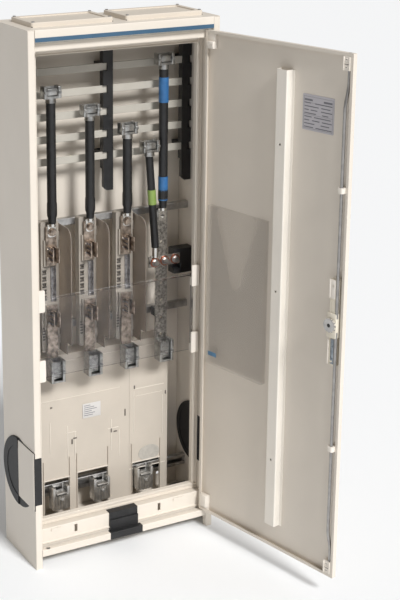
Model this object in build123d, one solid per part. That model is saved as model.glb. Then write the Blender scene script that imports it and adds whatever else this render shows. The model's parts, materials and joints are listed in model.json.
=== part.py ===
from build123d import *
import os
from math import cos, radians, sin, tan

# Floor-standing switchboard cabinet, millimetres.
# +Z is up and the front faces -Y. The origin is the middle of the back panel's
# foot edge, on the floor. Depths are measured backwards from the front plane.

# ---- casing ----
WIDTH = 550.0
DEPTH = 205.0
HEIGHT = 1460.0
SHEET = 1.5
BEND = 2.6
FIT = 0.3                # seat clearance between pieces that are screwed or clipped
SEAT = 0.05              # paint thickness under a screwed block
SIDE_STRIP = 19.0        # front face of each side panel
HEADER_STRIP = 32.0      # front face of the top panel, trim strip included
TRIM_HEIGHT = 12.0
TRIM_THICKNESS = 1.2
TOE_GAP = 34.0
PLINTH_STRIP = 20.0
REAR_RETURN = 20.0
MOUNT_HOLE_R = 4.5
MOUNT_SPACING_X = 420.0
MOUNT_INSET_Z = 90.0      # wall holes, from the foot and from the top

# ---- door rebate and inner frame ----
STEP_DEPTH = 17.0        # depth of the face that carries the seal
FRAME_DEPTH = 46.0       # depth of the lip around the clear opening
FRAME_RETURN = 16.0
LIP_WIDTH = 16.0
SIDE_STEP = 6.0
HEAD_STEP = 26.0
SILL_STEP = 50.0
SILL_SETBACK = 5.0       # upright face of the sill behind the step
RIDGE = 2.0
RIDGE_HEIGHT = 4.0
SEAL_WIDTH = 5.0
SEAL_HEIGHT = 1.2
BEAD_HEIGHT = 8.0
SILL_LUG_XS = (-205.0, 175.0)
SILL_LUG_LENGTH = 32.0
SILL_LUG_HEIGHT = 9.0
SILL_LUG_PROUD = 3.0
SILL_SLOT_XS = (-150.0, 110.0)
SILL_SLOT_WIDTH = 9.0
SILL_SLOT_HEIGHT = 22.0

# ---- cable entries ----
ENTRY_Z = 248.0
ENTRY_DEPTH = 103.0
ENTRY_R = 90.0
ENTRY_FLANGE = 8.0
ENTRY_SLOT = 136.0
ENTRY_SLOT_Z = 258.0
SLIDE_PLATE_HEIGHT = 164.0
RUBBER = 5.0
TOP_ENTRY_LENGTH = 228.0
TOP_ENTRY_WIDTH = 128.0
TOP_ENTRY_RAISE = 12.0
TOP_ENTRY_PITCH = 264.0
TOP_ENTRY_RIM = 14.0
TOP_SCREW_R = 4.0
TOP_SCREW_HEAD = 2.4
TOP_SCREW_INSET = 7.0
SILL_BLOCK_WIDTH = 100.0
NOTCH_SETBACK = 1.0      # cut in the plinth strip stops this far before the step
FLOOR_HOLE_R = 36.0
FLOOR_HOLE_X = -4.0
FLOOR_HOLE_DEPTH = 128.0
FLOOR_PILOT_OFFSET = 46.0
FLOOR_PILOT_R = 4.0
GROMMET_FLANGE = 4.0
GROMMET_RINGS = (30.0, 20.0)
PAD_LOW_X = 212.0
PAD_FRONT = 64.0
PAD_LENGTH = 76.0
PAD_HEIGHT = 26.0

# ---- cable rack ----
SLAT_COUNT = 5
SLAT_PITCH = 60.0
SLAT_HEIGHT = 20.0
SLAT_THICKNESS = 4.0
SLAT_DEPTH = 145.0
SLAT_TOP_Z = 1336.0
COMB_X = 3.0
COMB_WIDTH = 29.0
COMB_STRAP = 16.0
COMB_SPINE = 10.0
COMB_TOP_Z = 1374.0
COMB_BOTTOM_Z = 990.0
COMB_TIP = 12.0
COMB_PROUD = 6.0

# ---- fuse bases ----
PHASE_PITCH = 112.0
PHASE_CENTRE_X = -52.0
RAIL_DEPTH = 150.0
RAIL_HEIGHT = 20.0
RAIL_THICKNESS = 15.0
UPPER_RAIL_Z = 915.0
LOWER_RAIL_Z = 625.0
BASE_WIDTH = 52.0
BASE_THICKNESS = 28.0
BASE_LOW_Z = 565.0
BASE_HIGH_Z = 895.0
JAW_HIGH_Z = 845.0
JAW_LOW_Z = 665.0
JAW_HEIGHT = 40.0
JAW_GAP = 6.0
BLADE = 3.0
BAR_WIDTH = 30.0
BAR_THICKNESS = 5.0
BARRIER_OFFSET = 32.0
BARRIER_THICKNESS = 2.5
BARRIER_STEP = 30.0
BARRIER_LOW_Z = 562.0
BARRIER_HIGH_Z = 918.0
TERMINAL_LOW_Z = 490.0
TERMINAL_DEPTH = 36.0
TERMINAL_WIDTH = 42.0
TERMINAL_HEIGHT = 62.0
TERMINAL_WALL = 9.0
JAW_LENGTH = 30.0
JAW_FLARE = 4.0
BASE_HEAD = 34.0         # body above the upper contact
PAD_HALF_HEIGHT = 36.0
BAR_PAST_JAW = 34.0
BAR_PAST_LUG = 15.0
BOLT_R = 9.0

# ---- neutral and earth ----
NEUTRAL_X = 170.0
NEUTRAL_WIDTH = 36.0
BRIDGE_Z = 776.0
BRIDGE_BOLT_PITCH = 33.0
BRIDGE_HALF_HEIGHT = 15.0
BRIDGE_END = 16.0
BRIDGE_COLLAR_R = 14.0
NEUTRAL_HOLE_ZS = (560.0, 610.0, 660.0, 710.0, 830.0)
NEUTRAL_HOLE_R = 5.0
SIDE_BLOCK_X = 211.0
SIDE_BLOCK_LOW_Z = 730.0
SIDE_BLOCK_HEIGHT = 70.0
SIDE_BLOCK_SETBACK = 50.0
EARTH_TOP_X = 124.0

# ---- stub cables ----
CABLE_D = 25.0
LUG_Z = 905.0
LUG_HALF_WIDTH = 12.0
LUG_PALM = 4.5
LUG_TAIL = 14.0          # palm below the bolt
LUG_BARREL_Z = 16.0      # barrel's foot and head above the bolt
LUG_LENGTH = 44.0
LUG_R = 9.0
LUG_AXIS = 6.2           # barrel's axis in front of the bar
STUB_TOPS = {"l1": 1252.0, "l2": 1195.0, "l3": 1135.0, "n": 1312.0, "pe": 1078.0}
SLEEVE_THICKNESS = 1.0
SLEEVE_LOW_Z = 951.0
SLEEVE_LOW_LENGTH = 66.0
SLEEVE_HIGH_Z = 1222.0
SLEEVE_HIGH_LENGTH = 68.0
EARTH_THINNER = 2.0      # smaller radius of the earth cable
CLAMP_WIDTH = 50.0
CLAMP_HEIGHT = 44.0
CLAMP_FRONT = 16.0
CLAMP_REAR = 12.0
CLAMP_WALL = 10.0
CLAMP_CUP = 14.0
CLAMP_SCREW_R = 4.5

# ---- covers and cable clamps ----
COVER_SETBACK = 4.0      # cover behind the lip of the frame
COVER_SHEET = 3.0
COVER_LOW_Z = 527.0
COVER_HIGH_Z = 745.0
COVER_FLANGE = 12.0
LOWER_COVER_HIGH_Z = 540.0
LOWER_COVER_LOW_Z = 160.0
LOWER_COVER_JOINT_X = 88.0
LOWER_COVER_END_X = 212.0
LOWER_COVER_SHEET = 2.0
WINDOW_CORNER = 8.0
WINDOW_RIB = 60.0        # ribs above each window
LEFT_WINDOWS = ((-180.0, -104.0, 172.0), (-77.0, 17.0, 178.0))
RIGHT_WINDOWS = ((97.0, 186.0, 168.0),)
CLAMP_RAIL_Z = 142.0
CLAMP_RAIL_HALF = 17.0
CLAMP_RAIL_LIP = 11.0
CLAMP_RAIL_DEEP = 15.0
CLIP_HALF = 30.0
CLIP_THICKNESS = 5.0
CLIP_OVERHANG = 12.0
SADDLE_HALF = 26.0
SADDLE_DEEP = 34.0
SADDLE_LOW = 62.0
SADDLE_HIGH = 16.0
SADDLE_WALL = 9.0
SADDLE_SCREW_R = 5.0
CLAMP_XS = (-140.0, -13.0, 126.0)

# ---- door ----
DOOR_HINGE_GAP = 4.0
DOOR_LATCH_GAP = 3.0
DOOR_END_GAP = 2.5
DOOR_THICKNESS = 13.0
DOOR_RETURN = 8.0
PIVOT_INSET = 6.5
PIN_R = 3.0
PIN_CLEARANCE = 0.06
PIN_HEAD_R = 3.8
PIN_HEAD = 3.0
REST_OPENING = 102.0
HINGE_BLOCK_WIDTH = 34.0
HINGE_BLOCK_HEIGHT = 48.0
HINGE_BLOCK_PROUD = 6.0
PIN_DEEP = 36.0          # pin's reach into the leaf
STIFFENER_S = 284.0
STIFFENER_WIDTH = 36.0
STIFFENER_PROUD = 20.0
STIFFENER_END_GAP = 66.0
STIFFENER_FOOT = 8.0
STIFFENER_HOLE_R = 3.0
STIFFENER_HOLE_INSET = 190.0
STIFFENER_HOLE_MID = 660.0
POCKET_S0 = 20.0
POCKET_S1 = 236.0
POCKET_LOW_Z = 506.0
POCKET_HIGH_Z = 956.0
POCKET_DEEP = 13.0
POCKET_WALL = 1.5
POCKET_CUT_DEEP = 250.0
POCKET_CUT_HALF = 80.0
PLATE_S = 391.0
PLATE_Z = 1262.0
PLATE_WIDTH = 102.0
PLATE_HEIGHT = 90.0

# ---- lock ----
LOCK_INSET = 29.0        # spindle to the latch edge of the leaf
LOCK_Z = 747.0
CASE_WIDTH = 32.0
CASE_DEEP = 24.0
CASE_LOW_Z = 636.0
CASE_HIGH_Z = 868.0
SPINDLE_R = 6.0
SPINDLE_CLEARANCE = 0.05
BOSS_R = 17.0
BOSS_HEIGHT = 6.0
HUB_R = 14.0
ROD_R = 4.0
ROD_CLEARANCE = 0.35
ROD_OFFSET = 13.0        # rods beside the spindle, towards the latch edge
ROD_DEEP = 18.0
ROD_END_DEEP = 7.0
ROD_TRAVEL = 14.0
BLOCK_HEIGHT = 34.0
BLOCK_WIDTH = 26.0
BRACKET_UP = 345.0
BRACKET_DOWN = 330.0
BRACKET_HEIGHT = 14.0
LEVER_LENGTH = 118.0
LEVER_WIDTH = 20.0
LEVER_THICKNESS = 9.0
ESCUTCHEON = 4.0
ESCUTCHEON_LOW = 112.0
ESCUTCHEON_HIGH = 34.0
HUB_LENGTH = 5.0
EAR_REACH = 15.0
EAR_GAP = 8.0
EAR_THICKNESS = 4.0
EAR_PLAY = 0.3
LEVER_AXIS = 10.0        # lever's pin in front of the hub's seat

# ---- worked out from the sizes above ----
FRONT_Y = 1.5 * SHEET - DEPTH
HALF = WIDTH / 2
INSIDE = HALF - SHEET
OPENING_HALF = HALF - SIDE_STRIP
OPENING_TOP = HEIGHT - HEADER_STRIP
OPENING_BOTTOM = TOE_GAP + PLINTH_STRIP
THROAT_HALF = OPENING_HALF - SIDE_STEP
THROAT_TOP = OPENING_TOP - HEAD_STEP
THROAT_BOTTOM = OPENING_BOTTOM + SILL_STEP
CLEAR_HALF = THROAT_HALF - LIP_WIDTH
CLEAR_TOP = THROAT_TOP - LIP_WIDTH
CLEAR_BOTTOM = THROAT_BOTTOM + LIP_WIDTH
BACK_DEPTH = DEPTH - 2 * SHEET          # inner face of the back panel
MOUNT_ZS = (MOUNT_INSET_Z, HEIGHT - MOUNT_INSET_Z)
PLINTH_NOTCH = STEP_DEPTH - NOTCH_SETBACK
SILL_DEPTH = STEP_DEPTH + SILL_SETBACK
COVER_DEPTH = FRAME_DEPTH + COVER_SETBACK
BARRIER_FRONT = COVER_DEPTH + COVER_FLANGE + 1
DOOR_EDGE_X = OPENING_HALF - DOOR_HINGE_GAP
DOOR_WIDTH = 2 * OPENING_HALF - DOOR_HINGE_GAP - DOOR_LATCH_GAP
LOCK_S = DOOR_WIDTH - LOCK_INSET
ROD_S = LOCK_S + ROD_OFFSET
DOOR_LOW_Z = OPENING_BOTTOM + DOOR_END_GAP
DOOR_HIGH_Z = OPENING_TOP - DOOR_END_GAP
PIVOT_X = DOOR_EDGE_X - PIVOT_INSET
PIVOT_Y = FRONT_Y + PIVOT_INSET
PHASES = {"l1": PHASE_CENTRE_X - PHASE_PITCH, "l2": PHASE_CENTRE_X, "l3": PHASE_CENTRE_X + PHASE_PITCH}
BASE_FRONT = RAIL_DEPTH - FIT - BASE_THICKNESS
BAR_FRONT = BASE_FRONT - BAR_THICKNESS
CABLE_DEPTH = BAR_FRONT - LUG_AXIS
HUB_SEAT = -ESCUTCHEON - FIT             # outside face that the hub turns on
FLOOR_Z = OPENING_BOTTOM - SHEET

parts = {}


# ---- shared shapes ----
def slab(x0, x1, depth0, depth1, z0, z1):
    """Block between two corners, with its depths measured from the front plane."""
    size = Box(x1 - x0, depth1 - depth0, z1 - z0)
    return Pos((x0 + x1) / 2, FRONT_Y + (depth0 + depth1) / 2, (z0 + z1) / 2) * size


def post(x, depth, z0, z1, radius):
    return Pos(x, FRONT_Y + depth, (z0 + z1) / 2) * Cylinder(radius, z1 - z0)


def peg(x, z, depth0, depth1, radius):
    turned = Rot(90, 0, 0) * Cylinder(radius, depth1 - depth0)
    return Pos(x, FRONT_Y + (depth0 + depth1) / 2, z) * turned


def crossbar(x0, x1, depth, z, radius):
    turned = Rot(0, 90, 0) * Cylinder(radius, x1 - x0)
    return Pos((x0 + x1) / 2, FRONT_Y + depth, z) * turned


def folded_section(points, sheet=SHEET, bend=BEND):
    """Section of a bent sheet: its visible outline, thickened to the right-hand side."""
    outline = FilletPolyline(*points, radius=bend).wire()
    closed = outline.offset_2d(sheet, kind=Kind.ARC, side=Side.RIGHT, closed=True)
    return make_face(closed.edges())


def upright_fold(points, z0, z1, sheet=SHEET):
    """Bent sheet with an upright bend: points are (x, depth)."""
    section = folded_section([(x, FRONT_Y + depth) for x, depth in points], sheet)
    return extrude(Pos(0, 0, z0) * section, z1 - z0)


def level_fold(points, x0, x1, sheet=SHEET):
    """Bent sheet with a level bend: points are (depth, z)."""
    section = folded_section([(FRONT_Y + depth, z) for depth, z in points], sheet)
    return extrude(Pos(x0, 0, 0) * (Plane.YZ * section), x1 - x0)


def mirrored(shape):
    return mirror(shape, about=Plane.YZ)


def soft_edges(shape, radius, axis=None):
    edges = shape.edges() if axis is None else shape.edges().filter_by(axis)
    return fillet(edges, radius)


# ---- casing sheets ----
def back_panel():
    half = HALF - BEND - FIT
    panel = slab(-half, half, BACK_DEPTH, BACK_DEPTH + SHEET, 0, HEIGHT - SHEET - FIT)
    for x in (-MOUNT_SPACING_X / 2, MOUNT_SPACING_X / 2):
        for z in MOUNT_ZS:
            panel -= peg(x, z, BACK_DEPTH - SHEET, DEPTH, MOUNT_HOLE_R)
    return panel


def right_side_panel():
    points = [
        (OPENING_HALF, STEP_DEPTH),
        (OPENING_HALF, 0),
        (HALF, 0),
        (HALF, DEPTH),
        (HALF - REAR_RETURN, DEPTH),
    ]
    panel = upright_fold(points[::-1], 0, HEIGHT - SHEET)
    slot_low = ENTRY_SLOT_Z - ENTRY_SLOT / 2
    slot_high = ENTRY_SLOT_Z + ENTRY_SLOT / 2
    panel -= slab(OPENING_HALF - SHEET, HALF + SHEET, -SHEET, ENTRY_DEPTH, slot_low, slot_high)
    return panel - crossbar(INSIDE - SHEET, HALF + SHEET, ENTRY_DEPTH, ENTRY_Z, ENTRY_R)


def top_entry_centres():
    return [Vector(side * TOP_ENTRY_PITCH / 2, FRONT_Y + DEPTH / 2 + SHEET) for side in (-1, 1)]


def top_panel():
    half = OPENING_HALF - FIT
    points = [(STEP_DEPTH, OPENING_TOP), (0, OPENING_TOP), (0, HEIGHT), (DEPTH / 4, HEIGHT)]
    panel = level_fold(points, -half, half)
    panel += slab(-HALF, HALF, BEND, DEPTH, HEIGHT - SHEET, HEIGHT)
    for centre in top_entry_centres():
        hole = Box(TOP_ENTRY_LENGTH - 5 * RUBBER, TOP_ENTRY_WIDTH - 5 * RUBBER, 4 * SHEET)
        panel -= Pos(centre.X, centre.Y, HEIGHT) * hole
    pivot_z = OPENING_TOP + SHEET / 2
    panel -= post(PIVOT_X, PIVOT_INSET, pivot_z - SHEET, pivot_z + SHEET, PIN_R + PIN_CLEARANCE)
    return panel - rod_port(OPENING_TOP)


def rod_port(z):
    """Clearance hole that a lock rod's tip enters when the door is locked."""
    return post(DOOR_EDGE_X - ROD_S, ROD_END_DEEP, z - 2 * SHEET, z + 2 * SHEET, ROD_R + 2)


def floor_panel():
    panel = slab(-INSIDE + FIT, INSIDE - FIT, SILL_DEPTH + SHEET + FIT, BACK_DEPTH - FIT, FLOOR_Z - SHEET, FLOOR_Z)
    panel -= post(FLOOR_HOLE_X, FLOOR_HOLE_DEPTH, 0, HEIGHT / 2, FLOOR_HOLE_R)
    return panel - post(FLOOR_HOLE_X + FLOOR_PILOT_OFFSET, FLOOR_HOLE_DEPTH, 0, HEIGHT / 2, FLOOR_PILOT_R)


def plinth_strip():
    half = OPENING_HALF - FIT
    points = [(SILL_DEPTH, TOE_GAP), (0, TOE_GAP), (0, OPENING_BOTTOM), (STEP_DEPTH, OPENING_BOTTOM)]
    strip = level_fold(points, -half, half)
    strip -= slab(-SILL_BLOCK_WIDTH / 2, SILL_BLOCK_WIDTH / 2, -SHEET, PLINTH_NOTCH, 0, HEIGHT / 2)
    pivot_z = OPENING_BOTTOM - SHEET / 2
    strip -= post(PIVOT_X, PIVOT_INSET, pivot_z - SHEET, pivot_z + SHEET, PIN_R + PIN_CLEARANCE)
    return strip - rod_port(OPENING_BOTTOM)


def sill_rail():
    """Bottom rail of the door rebate: rear lip, ledge, upright face and bead."""
    half = THROAT_HALF - FIT
    bead = OPENING_BOTTOM + SHEET
    points = [
        (STEP_DEPTH + FIT, bead + BEAD_HEIGHT),
        (SILL_DEPTH, bead + BEAD_HEIGHT),
        (SILL_DEPTH, THROAT_BOTTOM),
        (FRAME_DEPTH, THROAT_BOTTOM),
        (FRAME_DEPTH, CLEAR_BOTTOM),
        (FRAME_DEPTH + FRAME_RETURN, CLEAR_BOTTOM),
    ]
    rail = level_fold(points, -half, half)
    rail += slab(-half, half, SILL_DEPTH, SILL_DEPTH + SHEET, FLOOR_Z - SHEET, bead + BEAD_HEIGHT + 1)
    for low in (THROAT_BOTTOM + RIDGE, CLEAR_BOTTOM - RIDGE - SHEET):
        rail += slab(-half, half, FRAME_DEPTH - RIDGE_HEIGHT, FRAME_DEPTH + SHEET / 2, low, low + RIDGE)
    lug_z = THROAT_BOTTOM - SILL_LUG_HEIGHT + 1
    for x in SILL_LUG_XS:
        outline = Rot(90, 0, 0) * SlotOverall(SILL_LUG_LENGTH, SILL_LUG_HEIGHT)
        rail += extrude(Pos(x, FRONT_Y + SILL_DEPTH, lug_z) * outline, SILL_LUG_PROUD, both=True)
    slot_low = OPENING_BOTTOM + PLINTH_STRIP
    for x in SILL_SLOT_XS:
        rail -= slab(
            x, x + SILL_SLOT_WIDTH, SILL_DEPTH - SHEET, SILL_DEPTH + 2 * SHEET, slot_low, slot_low + SILL_SLOT_HEIGHT
        )
    block_half = SILL_BLOCK_WIDTH / 2 - SIDE_STEP
    return rail - slab(-block_half, block_half, 0, FRAME_DEPTH - 2 * RIDGE, 0, THROAT_BOTTOM + SHEET / 2)


def inner_frame():
    """Welded rebate frame: step, throat wall and grooved lip on both sides and the head."""
    side_points = [
        (INSIDE - FIT, STEP_DEPTH),
        (THROAT_HALF, STEP_DEPTH),
        (THROAT_HALF, FRAME_DEPTH),
        (CLEAR_HALF, FRAME_DEPTH),
        (CLEAR_HALF, FRAME_DEPTH + FRAME_RETURN),
    ]
    side = upright_fold(side_points, FLOOR_Z + FIT, THROAT_TOP + SHEET)
    head_points = [
        (STEP_DEPTH + SHEET, HEIGHT - 3 * SHEET),
        (STEP_DEPTH + SHEET, THROAT_TOP + SHEET),
        (FRAME_DEPTH + SHEET, THROAT_TOP + SHEET),
        (FRAME_DEPTH + SHEET, CLEAR_TOP + SHEET),
        (FRAME_DEPTH + FRAME_RETURN, CLEAR_TOP + SHEET),
    ]
    reach = THROAT_HALF + SHEET
    head = level_fold(head_points, -reach, reach)
    side -= slab(0, THROAT_HALF, FRAME_DEPTH - RIDGE_HEIGHT, DEPTH, 0, CLEAR_BOTTOM + FIT)
    frame = head + side + mirrored(side)
    step_low = THROAT_TOP + SHEET - BEND
    for side_x in (-1, 1):
        edges = sorted((side_x * (THROAT_HALF - BEND), side_x * (INSIDE - FIT)))
        frame += slab(edges[0], edges[1], STEP_DEPTH, STEP_DEPTH + SHEET, step_low, HEIGHT - 3 * SHEET)
        for near in (CLEAR_HALF + SHEET, THROAT_HALF - 2 * RIDGE):
            edges = sorted((side_x * near, side_x * (near + RIDGE)))
            frame += slab(
                edges[0], edges[1], FRAME_DEPTH - RIDGE_HEIGHT, FRAME_DEPTH + SHEET / 2, CLEAR_BOTTOM, THROAT_TOP - RIDGE
            )
        slot_low = ENTRY_SLOT_Z - ENTRY_SLOT / 2
        slot_high = ENTRY_SLOT_Z + ENTRY_SLOT / 2
        edges = sorted((side_x * (THROAT_HALF - SHEET / 2), side_x * HALF))
        frame -= slab(edges[0], edges[1], 0, FRAME_DEPTH - SHEET / 2, slot_low, slot_high)
    for low in (CLEAR_TOP + SHEET, THROAT_TOP - 2 * RIDGE):
        frame += slab(
            -CLEAR_HALF, CLEAR_HALF, FRAME_DEPTH - RIDGE_HEIGHT, FRAME_DEPTH + SHEET / 2, low, low + RIDGE
        )
    return frame


def door_seal():
    """Foam strip on the step, split where the side entries and the rods need it open."""
    depth0 = STEP_DEPTH - SEAL_HEIGHT
    inner = THROAT_HALF + FIT
    outer = inner + SEAL_WIDTH
    low = ENTRY_SLOT_Z + ENTRY_SLOT / 2
    top = OPENING_TOP - FIT
    seal = slab(-outer, outer, depth0, STEP_DEPTH, top - SEAL_WIDTH, top)
    for side_x in (-1, 1):
        edges = sorted((side_x * inner, side_x * outer))
        seal += slab(edges[0], edges[1], depth0, STEP_DEPTH, low + FIT, top)
    return seal


def trim_strip():
    half = OPENING_HALF - FIT
    strip = slab(-half, half, -TRIM_THICKNESS, 0, OPENING_TOP + SHEET, OPENING_TOP + TRIM_HEIGHT)
    front = strip.faces().sort_by(Axis.Y)[0]
    return chamfer(front.edges(), TRIM_THICKNESS / 3)


# ---- cable entries ----
def top_entry_plates():
    plates = []
    for centre in top_entry_centres():
        rim = Box(TOP_ENTRY_LENGTH, TOP_ENTRY_WIDTH, TOP_ENTRY_RAISE)
        rim = fillet(rim.edges().filter_by(Axis.Z), 4 * SHEET)
        rim = fillet(rim.faces().sort_by(Axis.Z)[-1].edges(), SHEET)
        hollow = Box(TOP_ENTRY_LENGTH - 2 * TOP_ENTRY_RIM, TOP_ENTRY_WIDTH - 2 * TOP_ENTRY_RIM, TOP_ENTRY_RAISE)
        hollow = Pos(0, 0, TOP_ENTRY_RAISE - 2 * SHEET) * fillet(hollow.edges().filter_by(Axis.Z), 6)
        plate = rim - hollow
        plate += Pos(0, 0, -TOP_ENTRY_RAISE / 2 + SHEET) * Box(TOP_ENTRY_LENGTH - 10, TOP_ENTRY_WIDTH - 10, 2 * SHEET)
        for x, y in top_screw_places():
            plate -= Pos(x, y, 0) * Cylinder(TOP_SCREW_R / 2 + FIT, 2 * TOP_ENTRY_RAISE)
        plates.append(Pos(centre.X, centre.Y, HEIGHT + TOP_ENTRY_RAISE / 2) * plate)
    return Compound(children=plates)


def top_screw_places():
    x = TOP_ENTRY_LENGTH / 2 - TOP_SCREW_INSET
    y = TOP_ENTRY_WIDTH / 2 - TOP_SCREW_INSET
    return [(-x, -y), (-x, y), (x, -y), (x, y)]


def top_entry_screws():
    screws = []
    for centre in top_entry_centres():
        for x, y in top_screw_places():
            head = Pos(0, 0, TOP_SCREW_HEAD / 2) * Cylinder(TOP_SCREW_R, TOP_SCREW_HEAD)
            head -= Pos(0, 0, TOP_SCREW_HEAD - 0.2) * Box(2 * TOP_SCREW_R, 1, 1)
            screw = head + Pos(0, 0, -TOP_ENTRY_RAISE / 2) * Cylinder(TOP_SCREW_R / 2, TOP_ENTRY_RAISE)
            screws.append(Pos(centre.X + x, centre.Y + y, HEIGHT + TOP_ENTRY_RAISE) * screw)
    return Compound(children=screws)


def right_entry_grommet():
    """Rubber moulding: front block, plug in the round hole, tongue and domed rear half."""
    slot_low = ENTRY_SLOT_Z - ENTRY_SLOT / 2 + FIT
    slot_high = ENTRY_SLOT_Z + ENTRY_SLOT / 2 - FIT
    flange_r = ENTRY_R + ENTRY_FLANGE
    tongue_low = ENTRY_SLOT_Z - SLIDE_PLATE_HEIGHT / 2 - SHEET
    tongue_high = ENTRY_SLOT_Z + SLIDE_PLATE_HEIGHT / 2 + SHEET
    plug = crossbar(INSIDE - RUBBER, HALF, ENTRY_DEPTH, ENTRY_Z, ENTRY_R - FIT)
    plug -= crossbar(0, INSIDE - RUBBER + SHEET, ENTRY_DEPTH, ENTRY_Z, ENTRY_R - 3 * RUBBER)
    plug += slab(INSIDE - RUBBER, HALF, FRAME_DEPTH - RUBBER, ENTRY_DEPTH, slot_low, slot_high)
    block = slab(OPENING_HALF - FIT, HALF, -FIT, STEP_DEPTH, slot_low, slot_high)
    block += slab(THROAT_HALF - FIT, HALF, STEP_DEPTH, FRAME_DEPTH - SHEET, slot_low, slot_high)
    tongue = slab(HALF, HALF + SHEET, -FIT, ENTRY_DEPTH + FIT, tongue_low, tongue_high)
    disc = crossbar(HALF, HALF + RUBBER, ENTRY_DEPTH, ENTRY_Z, flange_r)
    disc = fillet(disc.faces().sort_by(Axis.X)[-1].edges(), RUBBER - SHEET)
    disc -= crossbar(HALF + RUBBER - SHEET, HALF + 2 * RUBBER, ENTRY_DEPTH, ENTRY_Z, ENTRY_R - 4 * RUBBER)
    disc -= slab(0, WIDTH, -DEPTH, ENTRY_DEPTH, 0, HEIGHT)
    front_half = crossbar(HALF, HALF + SHEET, ENTRY_DEPTH, ENTRY_Z, flange_r) & slab(0, WIDTH, 0, ENTRY_DEPTH, 0, HEIGHT)
    return plug + block + tongue + disc + front_half


def right_slide_plate():
    low = ENTRY_SLOT_Z - SLIDE_PLATE_HEIGHT / 2
    high = ENTRY_SLOT_Z + SLIDE_PLATE_HEIGHT / 2
    plate = slab(HALF + SHEET, HALF + 2 * SHEET, 2, ENTRY_DEPTH - FIT, low, high)
    return fillet(plate.edges().filter_by(Axis.X), 2)


def entry_slide_plates():
    return Compound(children=[right_slide_plate(), mirrored(right_slide_plate())])


def sill_cable_block():
    """Stepped rubber block that fills the cut in the plinth strip and the sill."""
    half = SILL_BLOCK_WIDTH / 2 - FIT
    throat = half - SIDE_STEP
    block = slab(-half, half, -1, PLINTH_NOTCH - FIT, TOE_GAP - FIT, OPENING_BOTTOM + 1)
    rear = FRAME_DEPTH - 3 * RIDGE
    block += slab(-throat, throat, STEP_DEPTH - 2, rear, OPENING_BOTTOM + FIT, THROAT_BOTTOM - 20)
    block += slab(-throat, throat, SILL_DEPTH, rear, FLOOR_Z + FIT, THROAT_BOTTOM - 20)
    block += slab(-throat, throat, SILL_DEPTH - 3, rear, THROAT_BOTTOM - 40, THROAT_BOTTOM + SHEET)
    return fillet(block.edges().filter_by(Axis.X).filter_by_position(Axis.Y, FRONT_Y - 2, FRONT_Y), 1.5)


def floor_grommet():
    """Ribbed membrane clipped into the floor hole."""
    centre = (FLOOR_HOLE_X, FLOOR_HOLE_DEPTH)
    grommet = post(*centre, FLOOR_Z - 3 * SHEET, FLOOR_Z, FLOOR_HOLE_R - FIT)
    grommet += post(*centre, FLOOR_Z, FLOOR_Z + GROMMET_FLANGE, FLOOR_HOLE_R + GROMMET_FLANGE)
    for radius in GROMMET_RINGS:
        dome = (FLOOR_HOLE_R + 2 * GROMMET_FLANGE - radius) / 4
        grommet += post(*centre, FLOOR_Z + 3, FLOOR_Z + GROMMET_FLANGE + dome, radius)
    return grommet


def corner_cable_pad():
    pad = slab(PAD_LOW_X, INSIDE - 2, PAD_FRONT, PAD_FRONT + PAD_LENGTH, FLOOR_Z + FIT, FLOOR_Z + PAD_HEIGHT)
    return fillet(pad.edges().filter_by(Axis.Z), 8)


# ---- cable rack ----
def slat_low_z(index):
    return SLAT_TOP_Z - SLAT_HEIGHT - index * SLAT_PITCH


def rack_slats():
    slats = []
    for index in range(SLAT_COUNT):
        z = slat_low_z(index)
        slat = slab(-THROAT_HALF + 2, THROAT_HALF - 2, SLAT_DEPTH, SLAT_DEPTH + SLAT_THICKNESS, z, z + SLAT_HEIGHT)
        slats.append(soft_edges(slat, 1, Axis.X))
    return Compound(children=slats)


def rack_comb(x0, x1, strap_x0, strap_x1):
    """Black holder: rear spine, fingers between the slats and a strap in front of them."""
    rear = SLAT_DEPTH + SLAT_THICKNESS + FIT
    comb = slab(x0, x1, rear, rear + COMB_SPINE, COMB_BOTTOM_Z + 60, COMB_TOP_Z)
    for index in (0, SLAT_COUNT - 1):
        low = slat_low_z(index) + 3
        comb += slab(x0 + 4, x1 - 4, rear, BACK_DEPTH - FIT, low, low + SLAT_HEIGHT - 6)
    front = SLAT_DEPTH - COMB_PROUD
    comb += slab(strap_x0, strap_x1, front, SLAT_DEPTH - FIT, COMB_BOTTOM_Z + COMB_TIP, COMB_TOP_Z)
    edges_z = [COMB_TOP_Z] + [slat_low_z(index) - FIT for index in range(SLAT_COUNT)]
    for index, top in enumerate(edges_z):
        if index < SLAT_COUNT:
            low = slat_low_z(index) + SLAT_HEIGHT + FIT
        else:
            low = COMB_BOTTOM_Z + COMB_TIP
        comb += slab(x0, x1, front, rear + 1, low, top)
    tip_x = (x0 + x1) / 2
    tip = slab(x0, x1, front, rear + 1, COMB_BOTTOM_Z, COMB_BOTTOM_Z + COMB_TIP + 1)
    corner = tip.edges().filter_by(Axis.Y).sort_by(Axis.Z)[0:2].sort_by(Axis.X)[0 if tip_x > 0 else -1]
    return comb + chamfer(corner, COMB_TIP - 2)


def rack_combs():
    middle = rack_comb(COMB_X, COMB_X + COMB_WIDTH, COMB_X + COMB_WIDTH - COMB_STRAP, COMB_X + COMB_WIDTH)
    right = rack_comb(INSIDE - FIT - COMB_WIDTH, INSIDE - FIT, THROAT_HALF - 4, THROAT_HALF + COMB_STRAP - 4)
    return Compound(children=[middle, right, mirrored(right)])


# ---- fuse bases ----
def mounting_rails():
    rails = []
    for z in (UPPER_RAIL_Z, LOWER_RAIL_Z):
        low = z - RAIL_HEIGHT / 2
        high = z + RAIL_HEIGHT / 2
        rear = RAIL_DEPTH + RAIL_THICKNESS
        points = [(rear, low), (RAIL_DEPTH, low), (RAIL_DEPTH, high), (rear, high)]
        rails.append(level_fold(points, -INSIDE + FIT, INSIDE - FIT))
    return Compound(children=rails)


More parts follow.
